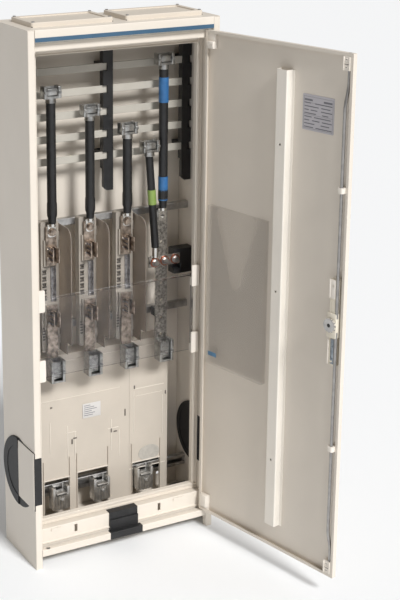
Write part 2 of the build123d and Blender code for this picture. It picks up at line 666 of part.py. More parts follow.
def fuse_base(x):
    """Moulded insulating body with a pad under each contact and lugs for the barrier."""
    half = BASE_WIDTH / 2
    rear = RAIL_DEPTH - FIT
    base = slab(x - half, x + half, BASE_FRONT + 6, rear, BASE_LOW_Z, BASE_HIGH_Z + BASE_HEAD)
    base = fillet(base.edges().filter_by(Axis.Y), 5)
    for z in (JAW_HIGH_Z, JAW_LOW_Z):
        base += slab(x - half + 6, x + half - 6, BASE_FRONT, BASE_FRONT + 7, z - PAD_HALF_HEIGHT, z + PAD_HALF_HEIGHT)
    for z in (BASE_HIGH_Z - 10, BASE_LOW_Z + 30):
        lug_edge = x + BARRIER_OFFSET - BARRIER_THICKNESS / 2 - FIT
        base += slab(x + half - 1, lug_edge, BASE_FRONT + 10, rear - 4, z - 12, z + 12)
    for z in range(int(JAW_LOW_Z) + 50, int(JAW_HIGH_Z) - 40, 18):
        base -= slab(x - half + 4, x - half + 14, BASE_FRONT, BASE_FRONT + 12, z, z + 8)
    return base


def contact_jaw(x, z):
    """Two sprung blades that grip the fuse-link's knife, flared at the mouth."""
    rear = BAR_FRONT
    front = rear - JAW_LENGTH
    blades = None
    for side in (-1, 1):
        inner = side * JAW_GAP / 2
        outer = side * (JAW_GAP / 2 + BLADE)
        flare = side * JAW_FLARE
        outline = Polyline(
            (inner, FRONT_Y + rear),
            (inner, FRONT_Y + front + 7),
            (inner + flare, FRONT_Y + front),
            (outer + flare, FRONT_Y + front),
            (outer, FRONT_Y + front + 8),
            (outer, FRONT_Y + rear),
            close=True,
        )
        blade = extrude(Pos(x, 0, z - JAW_HEIGHT / 2) * make_face(outline), JAW_HEIGHT)
        blades = blade if blades is None else blades + blade
    foot = slab(x - BAR_WIDTH / 2, x + BAR_WIDTH / 2, rear - 3, rear, z - JAW_HEIGHT / 2, z + JAW_HEIGHT / 2)
    return blades + foot


def bolt(x, z, depth, radius):
    """Hexagon head on a washer, its underside at the given depth."""
    washer = peg(x, z, depth - 2, depth, radius * 1.25)
    head = Pos(x, FRONT_Y + depth - 2, z) * Rot(90, 0, 0) * RegularPolygon(radius, 6)
    return washer + extrude(head, radius * 0.7)


def fuse_contacts(x):
    half = BAR_WIDTH / 2
    bars = [
        slab(x - half, x + half, BAR_FRONT, BASE_FRONT, JAW_HIGH_Z - BAR_PAST_JAW, LUG_Z + BAR_PAST_LUG),
        slab(x - half, x + half, BAR_FRONT, BASE_FRONT, TERMINAL_LOW_Z + 4, JAW_LOW_Z + BAR_PAST_JAW),
    ]
    jaws = [contact_jaw(x, z) for z in (JAW_HIGH_Z, JAW_LOW_Z)]
    fastener = bolt(x, LUG_Z, BAR_FRONT - BAR_THICKNESS, BOLT_R)
    return Compound(children=[bars[0] + jaws[0], bars[1] + jaws[1], fastener])


def phase_barriers():
    barriers = []
    for x in PHASES.values():
        centre = x + BARRIER_OFFSET
        half = BARRIER_THICKNESS / 2
        plate = slab(centre - half, centre + half, BARRIER_FRONT, RAIL_DEPTH - FIT, BARRIER_LOW_Z, BARRIER_HIGH_Z)
        plate -= slab(centre - WIDTH, centre + WIDTH, 0, BARRIER_FRONT + BARRIER_STEP, 0, BARRIER_LOW_Z + BASE_HEAD)
        shoulder = plate.edges().filter_by(Axis.X).sort_by(Axis.Z)[-2:].sort_by(Axis.Y)[0]
        barriers.append(fillet(shoulder, BARRIER_STEP - 4))
    return Compound(children=barriers)


def terminal_clamp(x, depth0, z0, width, height):
    """Saddle clamp: a U-shaped body with a pressure plate and two set screws."""
    half = width / 2
    body = slab(x - half, x + half, depth0, BAR_FRONT - FIT, z0, z0 + height)
    inner = half - TERMINAL_WALL
    body -= slab(x - inner, x + inner, depth0 - 1, BAR_FRONT - 8, z0 + 6, z0 + height + 1)
    body = fillet(body.edges().filter_by(Axis.Y), 2)
    inner -= FIT + 0.2
    plate = slab(x - inner, x + inner, depth0 + 8, BAR_FRONT - 8 - FIT, z0 + 8, z0 + height - 4)
    screws = None
    for side in (-1, 1):
        screw = peg(x + side * (half - TERMINAL_WALL / 2), z0 + height / 2, depth0 - 6, depth0, 4)
        screws = screw if screws is None else screws + screw
    return [body + screws, plate]


def incoming_clamps():
    solids = []
    for x in list(PHASES.values()) + [NEUTRAL_X]:
        solids += terminal_clamp(x, BAR_FRONT - TERMINAL_DEPTH, TERMINAL_LOW_Z, TERMINAL_WIDTH, TERMINAL_HEIGHT)
    return Compound(children=solids)


# ---- neutral and earth bars ----
def neutral_bars():
    half = NEUTRAL_WIDTH / 2
    upright = slab(NEUTRAL_X - half, NEUTRAL_X + half, BAR_FRONT, BASE_FRONT, TERMINAL_LOW_Z + 4, LUG_Z + BAR_PAST_LUG)
    for z in NEUTRAL_HOLE_ZS:
        upright -= peg(NEUTRAL_X, z, BAR_FRONT - 1, BASE_FRONT + 1, NEUTRAL_HOLE_R)
    left = bridge_bolt_xs()[0] - BRIDGE_END
    right = bridge_bolt_xs()[-1] + BRIDGE_END
    low = BRIDGE_Z - BRIDGE_HALF_HEIGHT
    bridge = slab(left, right, BAR_FRONT - BAR_THICKNESS, BAR_FRONT, low, low + 2 * BRIDGE_HALF_HEIGHT)
    return Compound(children=[upright, soft_edges(bridge, 1, Axis.X)])


def bridge_bolt_xs():
    return [NEUTRAL_X + 7 + step * BRIDGE_BOLT_PITCH for step in (-1, 0, 1)]


def bridge_bolts():
    depth = BAR_FRONT - BAR_THICKNESS
    bolts = []
    for index, x in enumerate(bridge_bolt_xs()):
        seat = depth - LUG_PALM - SEAT - SEAT if index == 0 else depth
        collar = peg(x, BRIDGE_Z, seat - 5, seat, BRIDGE_COLLAR_R)
        collar -= peg(x, BRIDGE_Z, seat - 6, seat - 3, BRIDGE_COLLAR_R - 3)
        head = Pos(x, FRONT_Y + seat - 3, BRIDGE_Z) * Rot(90, 0, 0) * RegularPolygon(BOLT_R, 6)
        bolts.append(collar + extrude(head, BOLT_R))
    return Compound(children=bolts)


def bar_supports():
    """Insulating spacers behind the neutral bar and the black block at the side wall."""
    solids = []
    for z in (UPPER_RAIL_Z, LOWER_RAIL_Z):
        solids.append(slab(NEUTRAL_X - 14, NEUTRAL_X + 14, BASE_FRONT + FIT, RAIL_DEPTH - FIT, z - 14, z + 10))
    high = SIDE_BLOCK_LOW_Z + SIDE_BLOCK_HEIGHT
    block = slab(SIDE_BLOCK_X, INSIDE - FIT, BAR_FRONT + FIT, BACK_DEPTH - SIDE_BLOCK_SETBACK, SIDE_BLOCK_LOW_Z, high)
    groove = SIDE_BLOCK_LOW_Z + 14
    block -= slab(SIDE_BLOCK_X - 11, SIDE_BLOCK_X + 19, BAR_FRONT - 1, BAR_FRONT + 14, groove, groove + 14)
    solids.append(soft_edges(block, 3, Axis.Z))
    return Compound(children=solids)


# ---- stub cables ----
def lug(x, z, depth_face):
    """Tubular lug: flat palm against the bar and a crimped barrel above it."""
    half = LUG_HALF_WIDTH
    palm = slab(x - half, x + half, depth_face - LUG_PALM, depth_face, z - LUG_TAIL, z + LUG_BARREL_Z + 4)
    palm = fillet(palm.edges().filter_by(Axis.Y).sort_by(Axis.Z)[:2], half - 4)
    barrel = post(x, depth_face - LUG_AXIS, z + LUG_BARREL_Z, z + LUG_LENGTH, LUG_R)
    return palm + barrel


def cable_lugs():
    solids = [lug(x, LUG_Z, BAR_FRONT) - peg(x, LUG_Z, 0, DEPTH, NEUTRAL_HOLE_R) for x in list(PHASES.values()) + [NEUTRAL_X]]
    return Compound(children=solids + [lug(bridge_bolt_xs()[0], BRIDGE_Z, BAR_FRONT - BAR_THICKNESS)])


def stub_cable(x, top):
    return post(x, CABLE_DEPTH, LUG_Z + LUG_LENGTH, top, CABLE_D / 2)


def earth_run():
    """Foot and head of the leaning earth cable, as points on its centre line."""
    foot = Vector(bridge_bolt_xs()[0], FRONT_Y + CABLE_DEPTH - BAR_THICKNESS, BRIDGE_Z + LUG_LENGTH + 1)
    head = Vector(EARTH_TOP_X, foot.Y, STUB_TOPS["pe"])
    return foot, head


def earth_tube(start, end, radius):
    foot, head = earth_run()
    axis = (head - foot).normalized()
    plane = Plane(origin=foot + (head - foot) * start, z_dir=axis)
    return extrude(plane * Circle(radius), (head - foot).length * (end - start))


def neutral_sleeves():
    sleeves = []
    for low, length in ((SLEEVE_LOW_Z, SLEEVE_LOW_LENGTH), (SLEEVE_HIGH_Z, SLEEVE_HIGH_LENGTH)):
        sleeve = post(NEUTRAL_X, CABLE_DEPTH, low, low + length, CABLE_D / 2 + SLEEVE_THICKNESS)
        sleeves.append(sleeve - post(NEUTRAL_X, CABLE_DEPTH, low - 1, low + length + 1, CABLE_D / 2 + SEAT))
    return Compound(children=sleeves)


def earth_sleeve():
    radius = CABLE_D / 2 - EARTH_THINNER
    return earth_tube(0.48, 0.64, radius + SLEEVE_THICKNESS) - earth_tube(0.4, 0.7, radius + SEAT)


def stub_clamps():
    """Connection clamp on the top end of each stub cable."""
    solids = []
    places = {name: (x, STUB_TOPS[name]) for name, x in PHASES.items()}
    places["n"] = (NEUTRAL_X, STUB_TOPS["n"])
    places["pe"] = (EARTH_TOP_X, STUB_TOPS["pe"] + 1)
    for name, (x, z) in places.items():
        axis_depth = CABLE_DEPTH - (BAR_THICKNESS if name == "pe" else 0)
        half = CLAMP_WIDTH / 2
        inner = half - CLAMP_WALL
        front = axis_depth - CLAMP_FRONT
        high = z + CLAMP_HEIGHT
        cup = post(x, axis_depth, z, z + CLAMP_CUP, CABLE_D / 2 + 2)
        body = slab(x - half, x + half, front, axis_depth + CLAMP_REAR, z + CLAMP_CUP - 2, high)
        body -= slab(x - inner, x + inner, front + 7, axis_depth + CLAMP_REAR - 7, z + CLAMP_CUP + 6, high + 1)
        for side in (-1, 1):
            screw_x = x + side * (half - CLAMP_WALL / 2)
            body += peg(screw_x, z + CLAMP_HEIGHT / 2 + 6, front - 6, front + 1, CLAMP_SCREW_R)
        solids.append(cup + body)
    return Compound(children=solids)


# ---- covers ----
def transparent_cover():
    half = CLEAR_HALF - FIT
    rear = COVER_DEPTH + COVER_FLANGE
    points = [
        (half, rear),
        (half, COVER_DEPTH),
        (-half, COVER_DEPTH),
        (-half, rear),
    ]
    cover = upright_fold(points, COVER_LOW_Z, COVER_HIGH_Z, COVER_SHEET)
    return cover + slab(
        -half + 2, half - 2, COVER_DEPTH + 1, rear, COVER_HIGH_Z - COVER_SHEET, COVER_HIGH_Z
    )


def cover_clips():
    clips = []
    for z in (COVER_HIGH_Z, COVER_LOW_Z + 24):
        front = FRAME_DEPTH - RIDGE_HEIGHT
        clip = slab(CLEAR_HALF - CLIP_OVERHANG, THROAT_HALF - SIDE_STEP, front - CLIP_THICKNESS, front, z - CLIP_HALF, z + CLIP_HALF)
        clip = fillet(clip.edges().filter_by(Axis.Y), 3)
        clip += slab(CLEAR_HALF - CLIP_OVERHANG, CLEAR_HALF - 2 * FIT, front - 2, COVER_DEPTH, z - CLIP_HALF + 2, z - 6)
        clips += [clip, mirrored(clip)]
    return Compound(children=clips)


def lower_cover(x0, x1, windows):
    rear = BACK_DEPTH - FIT
    low = FLOOR_Z + FIT
    cover = slab(x0, x1, RAIL_DEPTH, RAIL_DEPTH + LOWER_COVER_SHEET, low, LOWER_COVER_HIGH_Z)
    cover += slab(x0, x1, RAIL_DEPTH, rear, LOWER_COVER_HIGH_Z - LOWER_COVER_SHEET, LOWER_COVER_HIGH_Z)
    for edge in (x0, x1 - LOWER_COVER_SHEET):
        cover += slab(edge, edge + LOWER_COVER_SHEET, RAIL_DEPTH, rear, LOWER_COVER_LOW_Z + 8, LOWER_COVER_HIGH_Z)
    for left, right, top in windows:
        window = slab(left, right, RAIL_DEPTH - 1, RAIL_DEPTH + 3, 0, top)
        top_edges = window.edges().filter_by(Axis.Y).sort_by(Axis.Z)[-2:]
        cover -= fillet(top_edges, WINDOW_CORNER)
        for edge in (left - 3, right + 1):
            cover += slab(edge, edge + 2, RAIL_DEPTH - 2 * LOWER_COVER_SHEET, RAIL_DEPTH + 1, low, top + WINDOW_RIB)
    return cover


def lower_cover_left():
    cover = lower_cover(-INSIDE + RUBBER + FIT, LOWER_COVER_JOINT_X - FIT, LEFT_WINDOWS)
    room = FLOOR_HOLE_R + GROMMET_FLANGE + FIT
    return cover - post(FLOOR_HOLE_X, FLOOR_HOLE_DEPTH, FLOOR_Z, FLOOR_Z + 3 * GROMMET_FLANGE, room)


def lower_cover_right():
    return lower_cover(LOWER_COVER_JOINT_X + FIT, LOWER_COVER_END_X, RIGHT_WINDOWS)


def clamp_rail():
    low = CLAMP_RAIL_Z - CLAMP_RAIL_HALF
    high = CLAMP_RAIL_Z + CLAMP_RAIL_HALF
    front = RAIL_DEPTH + LOWER_COVER_SHEET + FIT
    rear = front + CLAMP_RAIL_DEEP
    lip = CLAMP_RAIL_LIP
    points = [(front, high - lip), (front, high), (rear, high), (rear, low), (front, low), (front, low + lip)]
    return level_fold(points, -INSIDE + FIT, INSIDE - FIT)


def saddle_clamps():
    """Galvanised cable saddles hooked on the rail, each with a tightening screw."""
    clamps = []
    front = RAIL_DEPTH + LOWER_COVER_SHEET
    for x in CLAMP_XS:
        low = CLAMP_RAIL_Z - SADDLE_LOW
        high = CLAMP_RAIL_Z + SADDLE_HIGH
        outer = front - SADDLE_DEEP
        inner = SADDLE_HALF - SADDLE_WALL
        body = slab(x - SADDLE_HALF, x + SADDLE_HALF, outer, front, low, high)
        lower = body.edges().filter_by(Axis.Y).sort_by(Axis.Z)[:2]
        body = chamfer(lower, 16)
        body -= slab(x - inner, x + inner, outer + 12, front - 3, low - 8, high + 4)
        screw_z = CLAMP_RAIL_Z - 18
        body -= peg(x, screw_z, outer - 6, outer + 14, SADDLE_SCREW_R + 2)
        screw = peg(x, screw_z, outer - 6, outer + 13, SADDLE_SCREW_R)
        screw += peg(x, screw_z, outer + 12, outer + 16, SADDLE_SCREW_R + 7)
        clamps += [body, screw]
    return Compound(children=clamps)


# ---- door, modelled closed and then swung to its rest opening ----
def swung(shape):
    hinge = Pos(PIVOT_X, PIVOT_Y, 0)
    return hinge * Rot(0, 0, REST_OPENING) * hinge.inverse() * shape


def leaf(s0, s1, deep0, deep1, z0, z1):
    """Block on the closed leaf: s from the hinge edge, depth from the outer skin."""
    return slab(DOOR_EDGE_X - s1, DOOR_EDGE_X - s0, deep0, deep1, z0, z1)


def door_pan():
    high, low = DOOR_HIGH_Z, DOOR_LOW_Z
    pan = leaf(0, DOOR_WIDTH, 0, DOOR_THICKNESS, low, high)
    pan = fillet(pan.edges().filter_by(Axis.Y), 1.2)
    pan -= leaf(SHEET, DOOR_WIDTH - SHEET, SHEET, DOOR_THICKNESS - SHEET, low + SHEET, high - SHEET)
    rim = DOOR_RETURN
    pan -= leaf(rim, DOOR_WIDTH - rim, SHEET, 2 * DOOR_THICKNESS, low + rim, high - rim)
    outer = pan.faces().sort_by(Axis.Y)[0]
    pan = fillet(outer.edges(), 0.8)
    for z in (low, high):
        pan -= post(PIVOT_X, PIVOT_INSET, z - 2 * SHEET, z + 2 * SHEET, PIN_R + FIT)
        pan -= post(DOOR_EDGE_X - ROD_S, ROD_END_DEEP, z - 2 * SHEET, z + 2 * SHEET, ROD_R + FIT)
    return pan - peg(DOOR_EDGE_X - LOCK_S, LOCK_Z, -SHEET, 2 * SHEET, SPINDLE_R + FIT)


def hinge_block(z0, z1, boss_z0, boss_z1):
    seat = SHEET + SEAT
    block = leaf(SHEET + FIT, HINGE_BLOCK_WIDTH, seat, DOOR_THICKNESS - SHEET - FIT, z0, z1)
    front = DOOR_THICKNESS + HINGE_BLOCK_PROUD
    block += leaf(DOOR_RETURN + FIT, HINGE_BLOCK_WIDTH, seat, front, boss_z0, boss_z1)
    return block - post(PIVOT_X, PIVOT_INSET, z0 - 1, z1 + 1, PIN_R + PIN_CLEARANCE)


def hinge_blocks():
    top = DOOR_HIGH_Z - SHEET - FIT
    low = DOOR_LOW_Z + SHEET + FIT
    foot = top - HINGE_BLOCK_HEIGHT
    head = low + HINGE_BLOCK_HEIGHT
    upper = hinge_block(foot, top, foot, THROAT_TOP - 4)
    lower = hinge_block(low, head, low + 12, head)
    return Compound(children=[upper, lower])


def hinge_pins():
    """Headed pins through the top panel and the plinth strip into the hinge blocks."""
    top = post(PIVOT_X, PIVOT_INSET, DOOR_HIGH_Z - PIN_DEEP, OPENING_TOP + SHEET, PIN_R)
    top += post(PIVOT_X, PIVOT_INSET, OPENING_TOP + SHEET, OPENING_TOP + SHEET + PIN_HEAD, PIN_HEAD_R)
    low = post(PIVOT_X, PIVOT_INSET, OPENING_BOTTOM - SHEET, DOOR_LOW_Z + PIN_DEEP, PIN_R)
    low += post(PIVOT_X, PIVOT_INSET, OPENING_BOTTOM - SHEET - PIN_HEAD, OPENING_BOTTOM - SHEET, PIN_HEAD_R)
    return Compound(children=[top, low])


def door_stiffener():
    """Hat-section rail with feet, welded to the inside of the skin."""
    centre = DOOR_EDGE_X - STIFFENER_S
    half = STIFFENER_WIDTH / 2
    foot = half + STIFFENER_FOOT
    top = SHEET + STIFFENER_PROUD
    points = [
        (centre - foot, SHEET + SHEET),
        (centre - half, SHEET + SHEET),
        (centre - half, top),
        (centre + half, top),
        (centre + half, SHEET + SHEET),
        (centre + foot, SHEET + SHEET),
    ]
    low = DOOR_LOW_Z + STIFFENER_END_GAP
    high = DOOR_HIGH_Z - STIFFENER_END_GAP
    rail = upright_fold(points, low, high)
    for z in (low + STIFFENER_HOLE_INSET, low + STIFFENER_HOLE_MID, high - STIFFENER_HOLE_INSET):
        rail -= peg(centre, z, top - 2 * SHEET, top + 1, STIFFENER_HOLE_R)
    return rail


def document_pocket():
    """Thin open-topped pouch with a V-shaped finger cut in its front wall."""
    base = SHEET + FIT
    pouch = leaf(POCKET_S0, POCKET_S1, base, base + POCKET_DEEP, POCKET_LOW_Z, POCKET_HIGH_Z)
    pouch = fillet(pouch.edges().filter_by(Axis.Y).sort_by(Axis.Z)[:2], 6)
    inner0 = POCKET_S0 + POCKET_WALL
    inner1 = POCKET_S1 - POCKET_WALL
    front = base + POCKET_DEEP
    pouch -= leaf(inner0, inner1, base + POCKET_WALL, front - POCKET_WALL, POCKET_LOW_Z + POCKET_WALL, POCKET_HIGH_Z + 1)
    middle = DOOR_EDGE_X - (POCKET_S0 + POCKET_S1) / 2
    notch = FilletPolyline(
        (middle - POCKET_CUT_HALF, POCKET_HIGH_Z + 1),
        (middle, POCKET_HIGH_Z - POCKET_CUT_DEEP),
        (middle + POCKET_CUT_HALF, POCKET_HIGH_Z + 1),
        close=True,
        radius=16,
    )
    cut = Pos(0, FRONT_Y + front, 0) * Rot(90, 0, 0) * make_face(notch)
    return pouch - extrude(cut, 3 * POCKET_WALL / 2, both=True)


def rating_plate():
    half = PLATE_WIDTH / 2
    plate = leaf(PLATE_S - half, PLATE_S + half, SHEET, SHEET + 1, PLATE_Z - PLATE_HEIGHT / 2, PLATE_Z + PLATE_HEIGHT / 2)
    return fillet(plate.edges().filter_by(Axis.Y), 3)


# ---- lock gear ----
def latch_case():
    """Gear case with a round boss seat and a channel for each rod."""
    half = CASE_WIDTH / 2
    case = leaf(LOCK_S - half, LOCK_S + half, SHEET, SHEET + CASE_DEEP, LOCK_Z - 38, LOCK_Z + 46)
    case = fillet(case.edges().filter_by(Axis.Y), 6)
    neck = half - 7
    case += leaf(LOCK_S - neck, LOCK_S + neck + 6, SHEET, SHEET + CASE_DEEP - 4, CASE_LOW_Z, CASE_HIGH_Z)
    case = fillet(case.faces().sort_by(Axis.Y)[-1].edges(), 2)
    rod_x = DOOR_EDGE_X - ROD_S
    case += leaf(ROD_S - 7, ROD_S + 7, SHEET, ROD_DEEP + 7, LOCK_Z - 60, LOCK_Z + 60)
    case -= post(rod_x, ROD_DEEP, LOCK_Z + 16, HEIGHT, ROD_R + ROD_CLEARANCE)
    case -= post(rod_x, ROD_DEEP, 0, LOCK_Z - 16, ROD_R + ROD_CLEARANCE)
    return case - peg(DOOR_EDGE_X - LOCK_S, LOCK_Z, 0, DEPTH, SPINDLE_R + SPINDLE_CLEARANCE)


def rod_guides():
    """Moulded guide block at each end of the leaf and one bracket along each rod."""
    guides = []
    half = BLOCK_WIDTH / 2
    rim = DOOR_RETURN + FIT
    top = DOOR_HIGH_Z - rim
    low = DOOR_LOW_Z + rim
    for z0, z1 in ((top - BLOCK_HEIGHT, top), (low, low + BLOCK_HEIGHT)):
        block = leaf(ROD_S - half - 4, DOOR_WIDTH - rim, SHEET, DOOR_THICKNESS + 0.5, z0, z1)
        block = fillet(block.edges().filter_by(Axis.Y), 2)
        guides.append(block - post(DOOR_EDGE_X - ROD_S, ROD_END_DEEP, z0 - 1, z1 + 1, ROD_R + ROD_CLEARANCE))
    reach = BRACKET_HEIGHT / 2
    for z in (LOCK_Z + BRACKET_UP, LOCK_Z - BRACKET_DOWN):
        bracket = leaf(ROD_S - 9, ROD_S + 7.5, SHEET, ROD_DEEP + 7, z - reach, z + reach)
        bracket = fillet(bracket.edges().filter_by(Axis.Z).sort_by(Axis.Y)[-2:], 5)
        guides.append(bracket - post(DOOR_EDGE_X - ROD_S, ROD_DEEP, z - reach - 1, z + reach + 1, ROD_R + ROD_CLEARANCE))
    return Compound(children=guides)


def lock_rod(near_z, far_z, tip_z):
    """Round rod with a gentle set towards the skin before its guided end."""
    x = DOOR_EDGE_X - ROD_S
    away = 1 if far_z > near_z else -1
    points = [
        (x, FRONT_Y + ROD_DEEP, near_z),
        (x, FRONT_Y + ROD_DEEP, far_z - away * 70),
        (x, FRONT_Y + ROD_END_DEEP, far_z - away * 22),
        (x, FRONT_Y + ROD_END_DEEP, tip_z),
    ]
    path = FilletPolyline(*points, radius=60)
    start = Plane(origin=points[0], z_dir=(0, 0, away))
    return sweep(start * Circle(ROD_R), path=path)


def upper_rod():
    guide = DOOR_HIGH_Z - DOOR_RETURN - BLOCK_HEIGHT
    return lock_rod(LOCK_Z + 18, guide - ROD_TRAVEL - 2, DOOR_HIGH_Z - 0.5)


def lower_rod():
    guide = DOOR_LOW_Z + DOOR_RETURN + BLOCK_HEIGHT
    return lock_rod(LOCK_Z - 18, guide + ROD_TRAVEL + 2, DOOR_LOW_Z + 0.5)


def handle_base():
    """Outside escutcheon under the lever."""
    base = leaf(LOCK_S - 16, LOCK_S + 16, -ESCUTCHEON, -FIT / 3, LOCK_Z - ESCUTCHEON_LOW, LOCK_Z + ESCUTCHEON_HIGH)
    base = fillet(base.edges().filter_by(Axis.Y), 10)
    base = fillet(base.faces().sort_by(Axis.Y)[0].edges(), 1.5)
    base += peg(DOOR_EDGE_X - LOCK_S, LOCK_Z - 84, -ESCUTCHEON - 3, 1 - ESCUTCHEON, 9)
    return base - peg(DOOR_EDGE_X - LOCK_S, LOCK_Z, -DEPTH, DEPTH, SPINDLE_R + SPINDLE_CLEARANCE)


def lock_spindle():
    """Spindle with a ribbed inner boss and an outer hub that carries the lever."""
    x = DOOR_EDGE_X - LOCK_S
    inner = SHEET + CASE_DEEP + FIT
    spindle = peg(x, LOCK_Z, HUB_SEAT - HUB_LENGTH + 1, inner + 1, SPINDLE_R)
    boss = peg(x, LOCK_Z, inner, inner + BOSS_HEIGHT, BOSS_R)
    for step in range(12):
        angle = radians(step * 30)
        boss += peg(x + BOSS_R * cos(angle), LOCK_Z + BOSS_R * sin(angle), inner, inner + 4, 2)
    boss -= peg(x, LOCK_Z, inner + 2, inner + BOSS_HEIGHT + 1, SPINDLE_R - 1)
    hub = peg(x, LOCK_Z, HUB_SEAT - HUB_LENGTH, HUB_SEAT, HUB_R)
    front = HUB_SEAT - EAR_REACH
    rear = HUB_SEAT - HUB_LENGTH + 1
    far = EAR_GAP + EAR_THICKNESS
    ears = leaf(LOCK_S - 7, LOCK_S + 8, front, rear, LOCK_Z - far, LOCK_Z - EAR_GAP)
    ears += leaf(LOCK_S - 7, LOCK_S + 8, front, rear, LOCK_Z + EAR_GAP, LOCK_Z + far)
    hub += fillet(ears.edges().filter_by(Axis.Z).sort_by(Axis.Y)[:4], 4)
    return spindle + boss + hub - lever_pivot(PIN_R / 2 + 0.05)


def lever_pivot(radius):
    reach = EAR_GAP + EAR_THICKNESS + 3
    return post(DOOR_EDGE_X - LOCK_S, HUB_SEAT - LEVER_AXIS, LOCK_Z - reach, LOCK_Z + reach, radius)


def lock_lever():
    """Swing-out lever, level at rest and pointing back towards the hinges."""
    back = HUB_SEAT - HUB_LENGTH - FIT
    front = back - LEVER_THICKNESS
    half = LEVER_WIDTH / 2
    lever = leaf(LOCK_S - LEVER_LENGTH, LOCK_S - 10, front, back, LOCK_Z - half, LOCK_Z + half)
    lever = fillet(lever.edges().filter_by(Axis.Y).sort_by(Axis.X)[-2:], half * 0.9)
    lever = fillet(lever.faces().sort_by(Axis.Y)[0].edges(), 1.5)
    eye = EAR_GAP - EAR_PLAY
    pin = EAR_GAP + EAR_THICKNESS + 2
    lever += leaf(LOCK_S - 11, LOCK_S, front + 1, back, LOCK_Z - eye, LOCK_Z + eye)
    lever += post(DOOR_EDGE_X - LOCK_S, HUB_SEAT - LEVER_AXIS, LOCK_Z - eye, LOCK_Z + eye, 4)
    return lever + post(DOOR_EDGE_X - LOCK_S, HUB_SEAT - LEVER_AXIS, LOCK_Z - pin, LOCK_Z + pin, PIN_R / 2)


# ---- build the sub-parts ----
side = right_side_panel()
grommet = right_entry_grommet()
parts["back_panel"] = back_panel()
parts["right_side_panel"] = side
parts["left_side_panel"] = mirrored(side)
parts["top_panel"] = top_panel()
parts["floor_panel"] = floor_panel()
parts["plinth_strip"] = plinth_strip()
parts["sill_rail"] = sill_rail()
parts["inner_frame"] = inner_frame()
parts["door_seal"] = door_seal()
parts["trim_strip"] = trim_strip()
parts["top_entry_plates"] = top_entry_plates()
parts["top_entry_screws"] = top_entry_screws()
parts["right_entry_grommet"] = grommet
parts["left_entry_grommet"] = mirrored(grommet)
parts["entry_slide_plates"] = entry_slide_plates()
parts["sill_cable_block"] = sill_cable_block()
parts["floor_grommet"] = floor_grommet()
parts["corner_cable_pad"] = corner_cable_pad()
parts["rack_slats"] = rack_slats()
parts["rack_combs"] = rack_combs()
parts["mounting_rails"] = mounting_rails()
for phase, phase_x in PHASES.items():
    parts["fuse_base_" + phase] = fuse_base(phase_x)
    parts["fuse_contacts_" + phase] = fuse_contacts(phase_x)
    parts["stub_cable_" + phase] = stub_cable(phase_x, STUB_TOPS[phase])
parts["phase_barriers"] = phase_barriers()
parts["incoming_clamps"] = incoming_clamps()
parts["neutral_bars"] = neutral_bars()
parts["bridge_bolts"] = bridge_bolts()
parts["bar_supports"] = bar_supports()
parts["stub_cable_neutral"] = stub_cable(NEUTRAL_X, STUB_TOPS["n"])
parts["stub_cable_earth"] = earth_tube(0, 1, CABLE_D / 2 - EARTH_THINNER)
parts["neutral_sleeves"] = neutral_sleeves()
parts["earth_sleeve"] = earth_sleeve()
parts["cable_lugs"] = cable_lugs()
parts["stub_clamps"] = stub_clamps()
parts["transparent_cover"] = transparent_cover()
parts["cover_clips"] = cover_clips()
parts["lower_cover_left"] = lower_cover_left()
parts["lower_cover_right"] = lower_cover_right()
parts["clamp_rail"] = clamp_rail()
parts["saddle_clamps"] = saddle_clamps()
parts["hinge_pins"] = hinge_pins()
parts["door_pan"] = swung(door_pan())
parts["hinge_blocks"] = swung(hinge_blocks())
parts["door_stiffener"] = swung(door_stiffener())
parts["document_pocket"] = swung(document_pocket())
parts["rating_plate"] = swung(rating_plate())
parts["latch_case"] = swung(latch_case())
parts["rod_guides"] = swung(rod_guides())
parts["handle_base"] = swung(handle_base())
parts["upper_rod"] = swung(upper_rod())
parts["lower_rod"] = swung(lower_rod())
parts["lock_spindle"] = swung(lock_spindle())
parts["lock_lever"] = swung(lock_lever())

os.makedirs("parts", exist_ok=True)
for name, shape in parts.items():
    export_step(shape, "parts/" + name + ".step")
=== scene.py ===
import json
from math import cos, pi, radians, sin, tau

import bmesh
import bpy
from mathutils import Matrix, Vector


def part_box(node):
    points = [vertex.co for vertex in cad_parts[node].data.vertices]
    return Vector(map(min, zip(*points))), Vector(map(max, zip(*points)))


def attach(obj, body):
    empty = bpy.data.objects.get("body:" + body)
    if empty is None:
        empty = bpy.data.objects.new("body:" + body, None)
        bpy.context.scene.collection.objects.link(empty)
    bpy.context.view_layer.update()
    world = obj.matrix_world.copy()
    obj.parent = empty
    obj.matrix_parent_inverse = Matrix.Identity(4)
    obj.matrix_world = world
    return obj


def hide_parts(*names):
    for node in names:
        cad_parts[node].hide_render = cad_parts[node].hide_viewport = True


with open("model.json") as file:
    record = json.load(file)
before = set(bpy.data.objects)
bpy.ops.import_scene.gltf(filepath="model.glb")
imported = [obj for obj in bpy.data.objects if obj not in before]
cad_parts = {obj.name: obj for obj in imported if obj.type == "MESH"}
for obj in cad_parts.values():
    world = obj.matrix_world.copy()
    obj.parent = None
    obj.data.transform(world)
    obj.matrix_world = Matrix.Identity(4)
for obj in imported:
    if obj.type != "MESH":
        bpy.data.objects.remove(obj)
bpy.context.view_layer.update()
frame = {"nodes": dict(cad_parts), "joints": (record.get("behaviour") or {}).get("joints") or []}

# ---- camera ----
# Standing to the left of the cabinet and higher than its roof, looking slightly down
# into the open casing and at the inside of the door.
camera_data = bpy.data.cameras.new("studio_camera")
camera = bpy.data.objects.new("studio_camera", camera_data)
bpy.context.collection.objects.link(camera)
camera.location = (-1.6951, -3.3596, 1.9820)
right = Vector((0.886550, -0.462628, -0.002168))
up = Vector((0.119939, 0.225313, 0.966876))
back = right.cross(up)
camera.rotation_mode = "QUATERNION"
